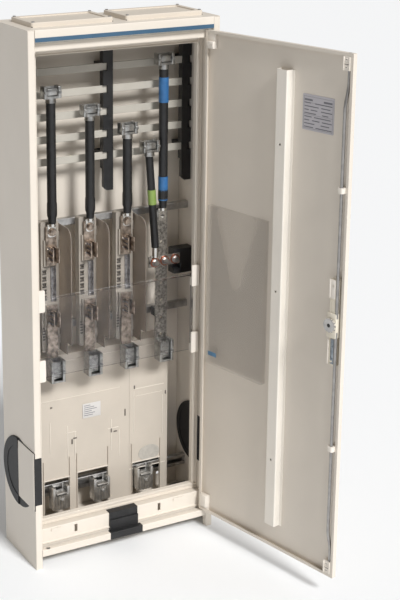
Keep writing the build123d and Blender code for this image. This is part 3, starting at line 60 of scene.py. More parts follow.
camera.rotation_quaternion = Matrix((right, up, back)).transposed().to_quaternion()
camera_data.sensor_width = 36
camera_data.lens = 85.8
camera_data.shift_x = 0.15
camera_data.shift_y = -0.19
camera_data.clip_start = 0.05
camera_data.clip_end = 60
bpy.context.scene.camera = camera

# ---- floor and studio light ----
# A wide pale floor under an even, slightly warm surround. A broad sun high in front
# gives the folds their shading, and a weak one from the right lifts their far sides.
bpy.context.scene.view_settings.view_transform = "Standard"
world = bpy.data.worlds.new("studio")
bpy.context.scene.world = world
world.use_nodes = True
surround = world.node_tree.nodes["Background"]
surround.inputs["Color"].default_value = (1.0, 0.975, 0.95, 1)
surround.inputs["Strength"].default_value = 0.32

floor_radius = 16
floor_form = bmesh.new()
bmesh.ops.create_circle(floor_form, cap_ends=True, segments=96, radius=floor_radius)
floor_mesh = bpy.data.meshes.new("studio_floor")
floor_form.to_mesh(floor_mesh)
floor_form.free()
floor = bpy.data.objects.new("studio_floor", floor_mesh)
bpy.context.collection.objects.link(floor)
floor_paint = bpy.data.materials.new("studio_floor")
floor_paint.use_nodes = True
floor_shader = floor_paint.node_tree.nodes["Principled BSDF"]
floor_shader.inputs["Base Color"].default_value = (0.96, 0.975, 0.99, 1)
floor_shader.inputs["Roughness"].default_value = 0.9
floor_mesh.materials.append(floor_paint)

for name, heading, height, spread, power in (
    ("front_light", 6, 40, 14, 3.0),
    ("side_light", 62, 30, 30, 0.25),
):
    light_data = bpy.data.lights.new(name, "SUN")
    light_data.energy = power
    light_data.angle = radians(spread)
    light = bpy.data.objects.new(name, light_data)
    bpy.context.collection.objects.link(light)
    light.rotation_euler = (radians(90 - height), 0, radians(heading))


# ---- sheet-steel shell ----
# Folded panels of 1.5 mm steel, powder coated a pale warm grey. The coat has the
# faint orange peel that comes from the oven.
def fine_grain(material, scale, depth, roughness, spread):
    """Gives a finish its fine surface: small bumps and a little uneven shine."""
    tree = material.node_tree
    shader = tree.nodes["Principled BSDF"]
    place = tree.nodes.new("ShaderNodeTexCoord")
    noise = tree.nodes.new("ShaderNodeTexNoise")
    noise.inputs["Scale"].default_value = scale
    noise.inputs["Detail"].default_value = 3
    tree.links.new(place.outputs["Object"], noise.inputs["Vector"])
    bump = tree.nodes.new("ShaderNodeBump")
    bump.inputs["Distance"].default_value = depth
    bump.inputs["Strength"].default_value = 0.6
    tree.links.new(noise.outputs["Fac"], bump.inputs["Height"])
    tree.links.new(bump.outputs["Normal"], shader.inputs["Normal"])
    shine = tree.nodes.new("ShaderNodeMapRange")
    shine.inputs["To Min"].default_value = roughness - spread
    shine.inputs["To Max"].default_value = roughness + spread
    tree.links.new(noise.outputs["Fac"], shine.inputs["Value"])
    tree.links.new(shine.outputs["Result"], shader.inputs["Roughness"])


def tone(material, colour, darker, scale):
    """Spreads two near tones of a colour unevenly over a surface."""
    tree = material.node_tree
    place = tree.nodes.new("ShaderNodeTexCoord")
    cloud = tree.nodes.new("ShaderNodeTexNoise")
    cloud.inputs["Scale"].default_value = scale
    cloud.inputs["Detail"].default_value = 5
    tree.links.new(place.outputs["Object"], cloud.inputs["Vector"])
    ramp = tree.nodes.new("ShaderNodeValToRGB")
    ramp.color_ramp.elements[0].position = 0.35
    ramp.color_ramp.elements[1].position = 0.65
    ramp.color_ramp.elements[0].color = (*[part * darker for part in colour], 1)
    ramp.color_ramp.elements[1].color = (*colour, 1)
    tree.links.new(cloud.outputs["Fac"], ramp.inputs["Fac"])
    tree.links.new(ramp.outputs["Color"], tree.nodes["Principled BSDF"].inputs["Base Color"])


def finish(name, colour, darker, tone_scale, grain, depth, roughness, spread):
    """Makes a whole finish: two tones, the darker a share of the colour, and a grain."""
    material = bpy.data.materials.new(name)
    material.use_nodes = True
    tone(material, colour, darker, tone_scale)
    fine_grain(material, grain, depth, roughness, spread)
    return material


def dress(material, *nodes):
    """Gives a finish to whole pieces of the frame."""
    for node in nodes:
        for place in frame["nodes"][node].material_slots:
            place.material = material


powder_coat = finish("powder_coat", (0.76, 0.695, 0.61), 0.96, 6, 520, 0.0002, 0.42, 0.06)
dress(powder_coat, "back_panel", "right_side_panel", "left_side_panel", "top_panel", "floor_panel")
dress(powder_coat, "plinth_strip", "sill_rail", "inner_frame", "entry_slide_plates")

# ---- coloured strip ----
# A blue plastic strip with a satin shine, pressed in along the front of the top
# panel's underside.
strip_plastic = finish("strip_plastic", (0.05, 0.12, 0.20), 0.9, 30, 300, 0.0001, 0.35, 0.04)
dress(strip_plastic, "trim_strip")

# ---- door seal ----
# A strip foamed in place, pale and matt, laid as one bead round the frame's rebate
# for the leaf to close on.
seal_foam = finish("seal_foam", (0.60, 0.58, 0.53), 0.9, 60, 900, 0.0004, 0.85, 0.05)
dress(seal_foam, "door_seal")

# ---- rubber entries ----
# Black moulded rubber, matt with a light bloom in uneven patches: the round side entries, the sill's cable
# block, the floor grommet and the corner pad.
entry_rubber = finish("entry_rubber", (0.018, 0.018, 0.019), 0.6, 40, 700, 0.0003, 0.55, 0.1)
dress(entry_rubber, "right_entry_grommet", "left_entry_grommet", "sill_cable_block", "floor_grommet")
dress(entry_rubber, "corner_cable_pad")

# ---- top entry plates ----
# Two moulded blanking plates screwed over the cable openings in the roof, a little
# yellower than the powder coat.
top_plate_plastic = finish("top_plate_plastic", (0.72, 0.65, 0.56), 0.95, 10, 600, 0.0002, 0.45, 0.05)
dress(top_plate_plastic, "top_entry_plates")

# ---- lower covers ----
# Two thin moulded covers before the outgoing cables, side by side below the fuse gear,
# in a warmer and duller cream than the steel.
cover_cream = finish("cover_cream", (0.585, 0.525, 0.45), 0.93, 9, 600, 0.0003, 0.46, 0.05)
dress(cover_cream, "lower_cover_left", "lower_cover_right")

# ---- black moulded pieces ----
# Black plastic and cable sheath: the rack's combs, the bars' supports, the five stub
# cables and, on the leaf's outside, the lever and its escutcheon.
black_moulding = finish("black_moulding", (0.016, 0.016, 0.017), 0.7, 50, 650, 0.0002, 0.42, 0.08)
dress(black_moulding, "rack_combs", "bar_supports", "stub_cable_l1", "stub_cable_l2", "stub_cable_l3")
dress(black_moulding, "stub_cable_neutral", "stub_cable_earth", "lock_lever", "handle_base")

# ---- grey mouldings ----
# The cable rack's slats are a light grey moulding, pushed into the combs, and the fuse
# bases a darker brownish one, bolted to the rails.
grey_moulding = finish("grey_moulding", (0.52, 0.49, 0.43), 0.92, 20, 500, 0.0002, 0.4, 0.06)
dress(grey_moulding, "rack_slats")
base_moulding = finish("base_moulding", (0.40, 0.36, 0.31), 0.85, 35, 500, 0.0003, 0.42, 0.08)
dress(base_moulding, "fuse_base_l1", "fuse_base_l2", "fuse_base_l3")


# ---- plated metal ----
# Zinc on the rails and screws, tin on the lugs and bars, and worn copper, dark in
# patches, on the fuse contacts. The lock's rods are drawn steel wire.
def plated(name, colour, darker, scale, roughness):
    metal = finish(name, colour, darker, scale, 400, 0.0002, roughness, 0.08)
    metal.node_tree.nodes["Principled BSDF"].inputs["Metallic"].default_value = 1
    return metal


zinc = plated("zinc", (0.56, 0.55, 0.54), 0.7, 60, 0.32)
dress(zinc, "top_entry_screws", "mounting_rails", "clamp_rail", "hinge_pins")
rod_wire = plated("rod_wire", (0.42, 0.41, 0.40), 0.8, 60, 0.38)
dress(rod_wire, "upper_rod", "lower_rod")
tinned = plated("tinned_copper", (0.78, 0.77, 0.74), 0.85, 40, 0.24)
dress(tinned, "cable_lugs")
worn_copper = plated("worn_copper", (0.60, 0.50, 0.42), 0.35, 85, 0.34)
dress(worn_copper, "fuse_contacts_l1", "fuse_contacts_l2", "fuse_contacts_l3")
bar_tin = plated("bar_tin", (0.62, 0.60, 0.57), 0.35, 130, 0.3)
dress(bar_tin, "neutral_bars")


# ---- clear plates ----
# Clear plastic sheets: smoked plates between the phases, and a clear cover clipped
# before the fuse gear.
def clear_plastic(name, colour, through, roughness, index):
    plastic = finish(name, colour, 0.97, 8, 200, 0.00005, roughness, 0.02)
    shader = plastic.node_tree.nodes["Principled BSDF"]
    shader.inputs["Transmission Weight"].default_value = through
    shader.inputs["IOR"].default_value = index
    return plastic


smoke_plate = clear_plastic("smoke_plate", (0.58, 0.51, 0.44), 0.62, 0.16, 1.3)
dress(smoke_plate, "phase_barriers")
clear_cover = clear_plastic("clear_cover", (0.93, 0.93, 0.94), 1.0, 0.04, 1.3)
dress(clear_cover, "transparent_cover")

# ---- document pocket ----
# A pocket of thin film, welded along three sides and stuck to the leaf, through which
# the leaf's coat shows.
pocket_film = finish("pocket_film", (0.50, 0.45, 0.40), 0.95, 8, 200, 0.00005, 0.3, 0.04)
pocket_film.node_tree.nodes["Principled BSDF"].inputs["Alpha"].default_value = 0.1
dress(pocket_film, "document_pocket")

# ---- white mouldings ----
# White plastic: the clips that hold the clear cover, and the guides in which the lock's
# rods slide.
white_moulding = finish("white_moulding", (0.86, 0.80, 0.72), 0.95, 20, 500, 0.0001, 0.38, 0.05)
dress(white_moulding, "cover_clips", "rod_guides")

# ---- rating plate ----
# A foil label, grey with a faint violet cast and a satin shine, stuck to the inside of
# the leaf near its upper free corner.
label_foil = finish("label_foil", (0.52, 0.50, 0.53), 0.97, 20, 500, 0.00005, 0.3, 0.03)
dress(label_foil, "rating_plate")

# ---- coloured sleeves ----
# Short plastic sleeves pushed over the stub cables: two blue ones mark the neutral
# and a green one the earth.
blue_sleeve = finish("blue_sleeve", (0.035, 0.15, 0.36), 0.8, 60, 700, 0.0002, 0.35, 0.05)
dress(blue_sleeve, "neutral_sleeves")
earth_green = finish("earth_sleeve_film", (0.25, 0.36, 0.09), 0.85, 60, 700, 0.0002, 0.35, 0.05)
dress(earth_green, "earth_sleeve")

# ---- door leaf ----
# A sheet-steel pan in the casing's powder coat, with a paler folded stiffener welded
# down its inside.
dress(powder_coat, "door_pan")
stiffener_coat = finish("stiffener_coat", (0.90, 0.85, 0.77), 0.97, 6, 520, 0.0002, 0.4, 0.06)
dress(stiffener_coat, "door_stiffener")

# ---- connection clamps on the stub cables ----
# Zinc-plated steel clamps: a U-shaped body with ribbed jaws, a pressure plate and
# two slotted screws, standing on a cup that grips the top of each cable.
def brick(form, low, high, soft=0.0):
    """Block from its two far corners, its edges rounded by the soft radius."""
    made = bmesh.ops.create_cube(form, size=1)["verts"]
    bmesh.ops.scale(form, vec=[b - a for a, b in zip(low, high)], verts=made)
    bmesh.ops.translate(form, vec=[(a + b) / 2 for a, b in zip(low, high)], verts=made)
    if soft:
        edges = list({edge for corner in made for edge in corner.link_edges})
        bmesh.ops.bevel(
            form, geom=edges, offset=soft, segments=2, profile=0.5, affect="EDGES", material=-1
        )


def block(form, x, half, deep, tall, soft=0.0):
    """Brick to the same distance left and right of x, from its depths and heights."""
    brick(form, (x - half, deep[0], tall[0]), (x + half, deep[1], tall[1]), soft)


def turned(form, start, end, radius, sides=32, end_radius=None):
    """Round or six-sided bar between two points, tapered if it has an end radius."""
    start, end = Vector(start), Vector(end)
    upright = Vector((0, 0, 1))
    tilt = upright.rotation_difference((end - start).normalized()).to_matrix().to_4x4()
    bmesh.ops.create_cone(
        form,
        cap_ends=True,
        segments=sides,
        radius1=radius,
        radius2=radius if end_radius is None else end_radius,
        depth=(end - start).length,
        matrix=Matrix.Translation((start + end) / 2) @ tilt,
    )


def cross_pin(form, x, half, y, z, radius, sides=10):
    """Bar that lies from left to right."""
    turned(form, (x - half, y, z), (x + half, y, z), radius, sides)


def stud(form, x, z, deep, radius, sides=32, end_radius=None):
    """Bar that points to the front or the back, between two depths."""
    turned(form, (x, deep[0], z), (x, deep[1], z), radius, sides, end_radius)


def slotted_screw(form, x, y, z, radius, length):
    """Cheese-head screw pointing forwards, its slot left between two half heads."""
    stud(form, x, z, (y, y - length * 0.55), radius)
    half_width, half_slot, half_head = radius * 0.62, radius * 0.2, radius * 0.45
    head_deep = (y - length, y - length * 0.5)
    for low_z in (z - half_slot - half_head, z + half_slot):
        block(form, x, half_width, head_deep, (low_z, low_z + half_head), radius * 0.12)


def finished(name, form, material, body, crease=35):
    """Turns a form into a piece: faces outwards, smooth up to the crease angle."""
    bmesh.ops.recalc_face_normals(form, faces=form.faces)
    mesh = bpy.data.meshes.new(name)
    form.to_mesh(mesh)
    form.free()
    for face in mesh.polygons:
        face.use_smooth = True
    mesh.set_sharp_from_angle(angle=radians(crease))
    mesh.materials.append(material)
    piece = bpy.data.objects.new(name, mesh)
    bpy.context.collection.objects.link(piece)
    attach(piece, body)
    return piece


clamp_height = 0.0435
cup_radius, cup_height = 0.0138, 0.012
cheek_middle, half_cheek = 0.02, 0.0045
jaw_ribs, jaw_rib_pitch = 5, 0.0036
earth_axis_x, earth_rise = 0.124, 0.001

clamp_axes = []
for conductor in ("l1", "l2", "l3", "neutral"):
    low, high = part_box("stub_cable_" + conductor)
    clamp_axes.append(((low[0] + high[0]) / 2, (low[1] + high[1]) / 2, high[2]))
low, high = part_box("stub_cable_earth")
clamp_axes.append((earth_axis_x, (low[1] + high[1]) / 2, high[2] + earth_rise))

clamp_form = bmesh.new()
clamp_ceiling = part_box("stub_clamps")[1][2]
for x, y, z in clamp_axes:
    top = min(z + clamp_height, clamp_ceiling)
    turned(clamp_form, (x, y, z + 0.0002), (x, y, z + cup_height), cup_radius, 40)
    turned(clamp_form, (x, y, z + 0.0005), (x, y, z + 0.003), cup_radius + 0.0006, 40)
    block(clamp_form, x, 0.023, (y - 0.0145, y + 0.011), (z + cup_height, z + 0.019), 0.001)
    for side in (-1, 1):
        cheek_x = x + side * cheek_middle
        block(clamp_form, cheek_x, half_cheek, (y - 0.0155, y + 0.0115), (z + 0.0125, top), 0.0014)
    block(clamp_form, x, 0.024, (y + 0.006, y + 0.0112), (z + 0.013, top - 0.002), 0.001)
    block(clamp_form, x, 0.0145, (y - 0.0135, y - 0.0088), (z + 0.021, top - 0.006), 0.0012)
    for rib in range(jaw_ribs):
        rib_z = z + 0.0235 + rib * jaw_rib_pitch
        cross_pin(clamp_form, x, 0.0135, y - 0.0088, rib_z, 0.0011)
        cross_pin(clamp_form, x, 0.0145, y + 0.006, rib_z, 0.0011)
    for side in (-1, 1):
        cheek_x = x + side * cheek_middle
        slotted_screw(clamp_form, cheek_x, y - 0.0155, z + 0.0285, 0.0043, 0.006)
        turned(clamp_form, (cheek_x, y, z + 0.04), (cheek_x, y, top), 0.0034, 6)
clamp_zinc = plated("clamp_zinc", (0.50, 0.50, 0.49), 0.6, 90, 0.3)
connection_clamps = finished("connection_clamps", clamp_form, clamp_zinc, "casing")
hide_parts("stub_clamps")

# ---- shrink boots ----
# Black heat-shrink sleeves that taper from each cable down onto its crimped lug,
# with the slight waves that shrinking leaves.
def lathed(form, x, y, foot, outline, steps=36):
    """Spins an outline of (rise, radius) pairs about an upright axis."""
    chain = [form.verts.new((x + radius, y, foot + rise)) for rise, radius in outline]
    edges = [form.edges.new(pair) for pair in zip(chain, chain[1:])]
    bmesh.ops.spin(
        form, geom=chain + edges, cent=(x, y, 0), axis=(0, 0, 1), angle=tau, steps=steps, use_merge=True
    )


boot_outline = (
    (0.0, 0.0101),
    (0.004, 0.0106),
    (0.014, 0.0108),
    (0.022, 0.0134),
    (0.030, 0.0137),
    (0.052, 0.0135),
    (0.058, 0.0128),
)
boot_overlap = 0.02
boot_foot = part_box("stub_cable_l1")[0][2] - boot_overlap

boot_form = bmesh.new()
for x, y, _ in clamp_axes[:4]:
    lathed(boot_form, x, y, boot_foot, boot_outline)
finished("shrink_boots", boot_form, black_moulding, "casing", 60)

# ---- terminal clamps ----
# The same family of clamp, larger, on the foot of each busbar and of the neutral bar:
# a pressed U of zinc-plated steel, with a ribbed plate drawn in by slotted screws.
terminal_depth = 0.0357
half_terminal = 0.021
terminal_cheek = 0.0085
plate_ribs, plate_rib_pitch = 7, 0.006
half_contact = 0.015

contact_xs = [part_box("fuse_contacts_" + phase)[0][0] + half_contact for phase in ("l1", "l2", "l3")]
(_, _, foot), (term_right, back, head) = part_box("incoming_clamps")
front = back - terminal_depth

terminal_form = bmesh.new()
for x in contact_xs + [term_right - half_terminal]:
    for side in (-1, 1):
        cheek_x = x + side * (half_terminal - terminal_cheek / 2)
        block(terminal_form, cheek_x, terminal_cheek / 2, (front, back), (foot, head), 0.0018)
    block(terminal_form, x, 0.02, (front + 0.001, back), (foot, foot + 0.006), 0.0015)
    block(terminal_form, x, 0.0205, (back - 0.007, back), (foot + 0.001, head - 0.001), 0.0015)
    block(terminal_form, x, 0.0115, (front + 0.009, front + 0.014), (foot + 0.009, head - 0.005), 0.0012)
    for rib in range(plate_ribs):
        cross_pin(terminal_form, x, 0.0112, front + 0.0088, foot + 0.014 + rib * plate_rib_pitch, 0.0014)
    for side in (-1, 1):
        slotted_screw(terminal_form, x + side * 0.0165, front, (foot + head) / 2, 0.0039, 0.0058)
        slotted_screw(terminal_form, x + side * 0.0165, front, head - 0.009, 0.003, 0.003)
terminal_clamps = finished("terminal_clamps", terminal_form, clamp_zinc, "casing")
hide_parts("incoming_clamps")

# ---- contact springs ----
# Sprung steel hoops round each contact's jaws, blued by heat treatment, with two small
# retaining screws on each side of the jaws.
upper_jaw_z, lower_jaw_z = 0.845, 0.665
hoop_pitch, hoop_wire = 0.013, 0.0014
half_hoop, hoop_depth = 0.0072, 0.017
screw_spread, screw_rise, screw_radius = 0.0115, 0.012, 0.0026

spring_form = bmesh.new()
screw_form = bmesh.new()
jaw_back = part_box("fuse_contacts_l1")[1][1]
hoop_back = jaw_back - 0.0095
screw_deep = (jaw_back - 0.008, jaw_back - 0.011)
for x in contact_xs:
    for jaw_z in (upper_jaw_z, lower_jaw_z):
        for row in (-1, 0, 1):
            hoop_z = jaw_z + row * hoop_pitch
            for side in (-1, 1):
                leg_x = x + side * half_hoop
                stud(spring_form, leg_x, hoop_z, (hoop_back, hoop_back - hoop_depth), hoop_wire, 12)
            cross_pin(spring_form, x, 0.0085, hoop_back, hoop_z, hoop_wire, 12)
        for side in (-1, 1):
            for screw_z in (jaw_z + screw_rise, jaw_z - screw_rise):
                stud(screw_form, x + side * screw_spread, screw_z, screw_deep, screw_radius, 6)
spring_steel = plated("spring_steel", (0.16, 0.17, 0.22), 0.7, 200, 0.3)
finished("contact_springs", spring_form, spring_steel, "casing")
finished("contact_screws", screw_form, clamp_zinc, "casing")

# ---- relief of the fuse bases ----
# A ladder of flat dark patches beside each base's middle, painted shade where its cooling slots are, and a
# pressed steel guide strip with round pips, as the bodies have between their two contacts.
upper_slots = [0.712 + 0.009 * step for step in range(10)]
lower_slots = [0.600 + 0.008 * step for step in range(5)]
pips = [0.718 + 0.019 * step for step in range(5)]
guide_left, guide_right = 0.0005, 0.0165
guide_low, guide_high = 0.706, 0.804
guide_lip = 0.0015

ladder_form = bmesh.new()
guide_form = bmesh.new()
body_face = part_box("fuse_base_l1")[0][1] + 0.006
slot_deep = (body_face - 0.0006, body_face + 0.0006)
for x in contact_xs:
    for z in upper_slots:
        block(ladder_form, x - 0.017, 0.006, slot_deep, (z, z + 0.0045), 0.0003)
    for z in lower_slots:
        block(ladder_form, x - 0.02025, 0.00375, slot_deep, (z, z + 0.004), 0.0003)
    brick(
        guide_form,
        (x + guide_left, body_face - 0.0018, guide_low),
        (x + guide_right, body_face + 0.0004, guide_high),
        0.0005,
    )
    for lip_x in (x + 0.001, x + 0.0145):
        brick(
            guide_form,
            (lip_x, body_face - 0.0045, guide_low + 0.002),
            (lip_x + guide_lip, body_face, guide_high - 0.002),
            0.0004,
        )
    for z in pips:
        stud(guide_form, x + 0.0085, z, (body_face - 0.0015, body_face - 0.0030), 0.0034, 20, 0.0026)
# Near black: painted shade standing in for the hollows of the cooling slots.
slot_shadow = finish("slot_shadow", (0.10, 0.09, 0.08), 0.7, 60, 500, 0.0002, 0.5, 0.05)
finished("base_ladders", ladder_form, slot_shadow, "casing")
guide_steel = plated("guide_steel", (0.50, 0.49, 0.50), 0.5, 110, 0.34)
finished("base_guides", guide_form, guide_steel, "casing")

# ---- bridge bolts ----
# Hexagon bolts in shallow collars on the neutral bridge, each on a copper washer that
# has darkened to red. The first sits on the earth lug, so it stands further out.
bolt_pitch, first_bolt = 0.033, 0.014
lug_thickness = 0.0046
washer_thickness = 0.0034

bolt_form = bmesh.new()
washer_form = bmesh.new()
low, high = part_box("bridge_bolts")
bridge_z = (low[2] + high[2]) / 2
for index in range(3):
    x = low[0] + first_bolt + index * bolt_pitch
    seat = high[1] - (lug_thickness if index == 0 else 0)
    collar = seat - washer_thickness
    stud(washer_form, x, bridge_z, (seat, collar), 0.0139, 40, 0.0134)
    stud(bolt_form, x, bridge_z, (collar, collar - 0.0016), 0.0108, 40, 0.0100)
    stud(bolt_form, x, bridge_z, (collar - 0.0016, collar - 0.0074), 0.0088, 6)
    stud(bolt_form, x, bridge_z, (collar - 0.0074, collar - 0.0084), 0.0076, 24, 0.0066)
red_copper = plated("red_copper", (0.50, 0.20, 0.13), 0.6, 120, 0.35)
finished("bridge_washers", washer_form, red_copper, "casing")
bridge_bolt_heads = finished("bridge_bolt_heads", bolt_form, clamp_zinc, "casing")
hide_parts("bridge_bolts")

# ---- cable saddles ----
# Galvanised pressed saddles on the lower rail: two ears hooked over it, a bowed
# jaw with a rib, and a slotted tightening screw.
saddle_xs = (-0.140, -0.013, 0.126)
saddle_depth, screw_rise = 0.034, 0.044
bow_steps, bow_half_width, bow_depth = 8, 0.0225, 0.011

saddle_form = bmesh.new()
(_, _, foot), (_, back, head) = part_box("saddle_clamps")
front = back - saddle_depth
for x in saddle_xs:
    for side in (-1, 1):
        block(saddle_form, x + side * 0.0215, 0.0042, (front + 0.004, back), (foot + 0.012, head), 0.0016)
        block(saddle_form, x + side * 0.017, 0.003, (back - 0.0035, back), (foot + 0.006, head), 0.001)
    for step in range(bow_steps + 1):
        turn = pi * step / bow_steps
        bow_x = x + cos(turn) * bow_half_width
        bow_y = front + 0.0135 - sin(turn) * bow_depth
        turned(saddle_form, (bow_x, bow_y, foot + 0.014), (bow_x, bow_y, foot + 0.056), 0.0044, 12)
    block(saddle_form, x, 0.0255, (front + 0.012, front + 0.0175), (foot + 0.028, foot + 0.036), 0.002)
    block(saddle_form, x, 0.016, (front + 0.001, back - 0.004), (foot + 0.058, foot + 0.063), 0.0015)
    stud(saddle_form, x, foot + screw_rise, (front, front + 0.016), 0.0062, 24)
    slotted_screw(saddle_form, x, front, foot + screw_rise, 0.0052, 0.0058)
galvanised = plated("galvanised", (0.66, 0.65, 0.63), 0.7, 70, 0.45)
cable_saddles = finished("cable_saddles", saddle_form, galvanised, "casing")
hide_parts("saddle_clamps")

# ---- details of the lower covers ----
# Moulded lines and small catches on the two covers, a round marking patch, raised frames round the cable
# windows, and a plain paper label with generic grey lines. The lines and frames are a paler cream than the
# covers, a painted highlight on their ridges, and the catches are dark, painted shade.
sheet_inset = 0.004
sheet_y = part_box("lower_cover_left")[0][1] + sheet_inset
face = sheet_y - 0.0013
rooted = face + 0.0016

relief_form = bmesh.new()
for x, z, wide, tall in (
    (-0.160, 0.300, 0.0022, 0.090),
    (-0.107, 0.276, 0.0022, 0.100),
    (-0.084, 0.262, 0.0022, 0.085),
    (0.030, 0.270, 0.0022, 0.095),
    (0.056, 0.240, 0.0022, 0.080),
    (0.102, 0.330, 0.0022, 0.130),
    (0.196, 0.300, 0.0022, 0.120),
    (-0.210, 0.330, 0.0022, 0.180),
    (-0.095, 0.304, 0.030, 0.0022),
    (0.036, 0.290, 0.034, 0.0022),
    (0.150, 0.394, 0.100, 0.0026),
    (0.150, 0.372, 0.086, 0.0018),
    (0.146, 0.150, 0.118, 0.0026),
    (-0.070, 0.410, 0.255, 0.0018),
    (-0.070, 0.520, 0.255, 0.0018),
    (0.150, 0.520, 0.112, 0.0018),
):
    block(relief_form, x, wide / 2, (face, rooted), (z - tall / 2, z + tall / 2), 0.0004)
for window_left, window_right, window_top in (
    (-0.180, -0.104, 0.172),
    (-0.077, 0.017, 0.178),
    (0.097, 0.186, 0.168),
):
    brick(
        relief_form,
        (window_left - 0.004, face - 0.002, window_top),
        (window_right + 0.004, rooted, window_top + 0.003),
        0.0006,
    )
# Paler than the covers' cream: painted highlight along the moulded ridges and frames.
cover_ridge_highlight = finish("cover_ridge_highlight", (0.74, 0.68, 0.60), 0.95, 10, 600, 0.0002, 0.42, 0.05)
finished("cover_relief", relief_form, cover_ridge_highlight, "casing")

# The catches are near-black blocks: painted shade where the covers' catches sit.
catch_form = bmesh.new()
for x, z, wide, tall in (
    (-0.093, 0.276, 0.004, 0.014),
    (-0.084, 0.285, 0.010, 0.003),
    (0.030, 0.284, 0.003, 0.012),
    (0.043, 0.279, 0.011, 0.003),
    (-0.156, 0.390, 0.006, 0.003),
    (0.104, 0.400, 0.003, 0.010),
    (0.205, 0.366, 0.003, 0.010),
    (-0.190, 0.250, 0.003, 0.016),
    (0.074, 0.330, 0.003, 0.020),
):
    block(catch_form, x, wide / 2, (face - 0.0012, rooted), (z - tall / 2, z + tall / 2), 0.0004)
catch_shadow = finish("catch_shadow", (0.16, 0.14, 0.12), 0.8, 60, 600, 0.0002, 0.5, 0.05)
finished("cover_catches", catch_form, catch_shadow, "casing")

patch_x, patch_z, patch_radius = 0.152, 0.190, 0.030
patch_form = bmesh.new()
bmesh.ops.create_cone(
    patch_form,
    cap_ends=True,
    segments=64,
    radius1=patch_radius,
    radius2=patch_radius,
    depth=0.0014,
    matrix=Matrix.Translation((patch_x, face + 0.0008, patch_z)) @ Matrix.Rotation(pi / 2, 4, "X"),
)
bmesh.ops.scale(
    patch_form,
    vec=(1.15, 1, 0.8),
    space=Matrix.Translation((-patch_x, 0, -patch_z)),
    verts=patch_form.verts,
)
patch_grey = finish("patch_grey", (0.50, 0.47, 0.42), 0.85, 90, 900, 0.0003, 0.6, 0.05)
finished("cover_patch", patch_form, patch_grey, "casing")

label_left, label_right = -0.060, -0.004
label_foot, label_head = 0.338, 0.381
label_form = bmesh.new()
brick(label_form, (label_left, face - 0.0002, label_foot), (label_right, face + 0.0006, label_head), 0.0002)
label_paper = finish("label_paper", (0.64, 0.62, 0.60), 0.97, 30, 700, 0.00005, 0.5, 0.05)
finished("cover_label", label_form, label_paper, "casing")

first_line_z, line_left, line_pitch, line_tall = 0.374, -0.056, 0.0058, 0.0018
bar_form = bmesh.new()
for row, length in enumerate((0.020, 0.032, 0.040, 0.024, 0.034, 0.028)):
    z = first_line_z - row * line_pitch
    low, high = (line_left, face - 0.0005, z), (line_left + length, face - 0.0001, z + line_tall)
    brick(bar_form, low, high, 0.0001)
label_ink = finish("label_ink", (0.20, 0.20, 0.22), 0.9, 60, 400, 0.00005, 0.5, 0.05)
finished("cover_label_lines", bar_form, label_ink, "casing")

# ---- rating label marks ----
# Generic grey bars in a thin ruled box, printed on the foil with no words. Like every
# piece on the leaf, they are made with it closed, where its sizes are plain, and are
# then turned with it about the hinge pins.
hinge = next(joint for joint in frame["joints"] if joint["name"] == "door_hinge")
pivot = Vector(hinge["pos_m"])
opening = Matrix.Rotation(radians(-min(hinge["range_deg"])), 4, "Z")
leaf_turn = Matrix.Translation(pivot) @ opening @ Matrix.Translation(-pivot)
leaf_edge, leaf_front = 0.252, -0.20275


def on_leaf(form, across, deep, z, soft=0.0):
    """Block on the closed leaf, from its distances off the hinge edge and the skin."""
    low = (leaf_edge - across[1], leaf_front + deep[0], z[0])
    high = (leaf_edge - across[0], leaf_front + deep[1], z[1])
    brick(form, low, high, soft)


def leaf_post(form, across, z, deep, radius, sides=40, end_radius=None):
    """Round post that stands on the closed leaf."""
    deep = (leaf_front + deep[0], leaf_front + deep[1])
    stud(form, leaf_edge - across, z, deep, radius, sides, end_radius)


def on_door(name, form, material, body="door"):
    """Opens a form made on the closed leaf with it, and makes it a piece."""
    form.transform(leaf_turn)
    return finished(name, form, material, body)


ink_deep = (0.0024, 0.0027)
first_row_z, row_pitch = 1.2955, 0.0086
box_left, box_right, box_foot, box_head = 0.3435, 0.4385, 1.2215, 1.3015
head_rule, middle_rule = 1.2860, 1.2560
rule = 0.0006

mark_form = bmesh.new()
for row, bars in enumerate((
    ((0.346, 0.372), (0.408, 0.436)),
    ((0.346, 0.366), (0.380, 0.436)),
    ((0.346, 0.392), (0.400, 0.430)),
    ((0.346, 0.360), (0.366, 0.388), (0.400, 0.436)),
    ((0.346, 0.384), (0.404, 0.424)),
    ((0.346, 0.370), (0.378, 0.432)),
    ((0.346, 0.362), (0.372, 0.396), (0.404, 0.436)),
    ((0.346, 0.380), (0.400, 0.428)),
    ((0.346, 0.376), (0.384, 0.436)),
)):
    z = first_row_z - row * row_pitch
    tall = 0.0048 if row == 0 else 0.0026
    for start, stop in bars:
        on_leaf(mark_form, (start, stop), ink_deep, (z - tall, z))
for start in (box_left, box_right - rule):
    on_leaf(mark_form, (start, start + rule), ink_deep, (box_foot, box_head))
for z in (box_foot, box_head - rule, head_rule, middle_rule):
    on_leaf(mark_form, (box_left, box_right), ink_deep, (z, z + rule))
on_door("rating_marks", mark_form, label_ink)

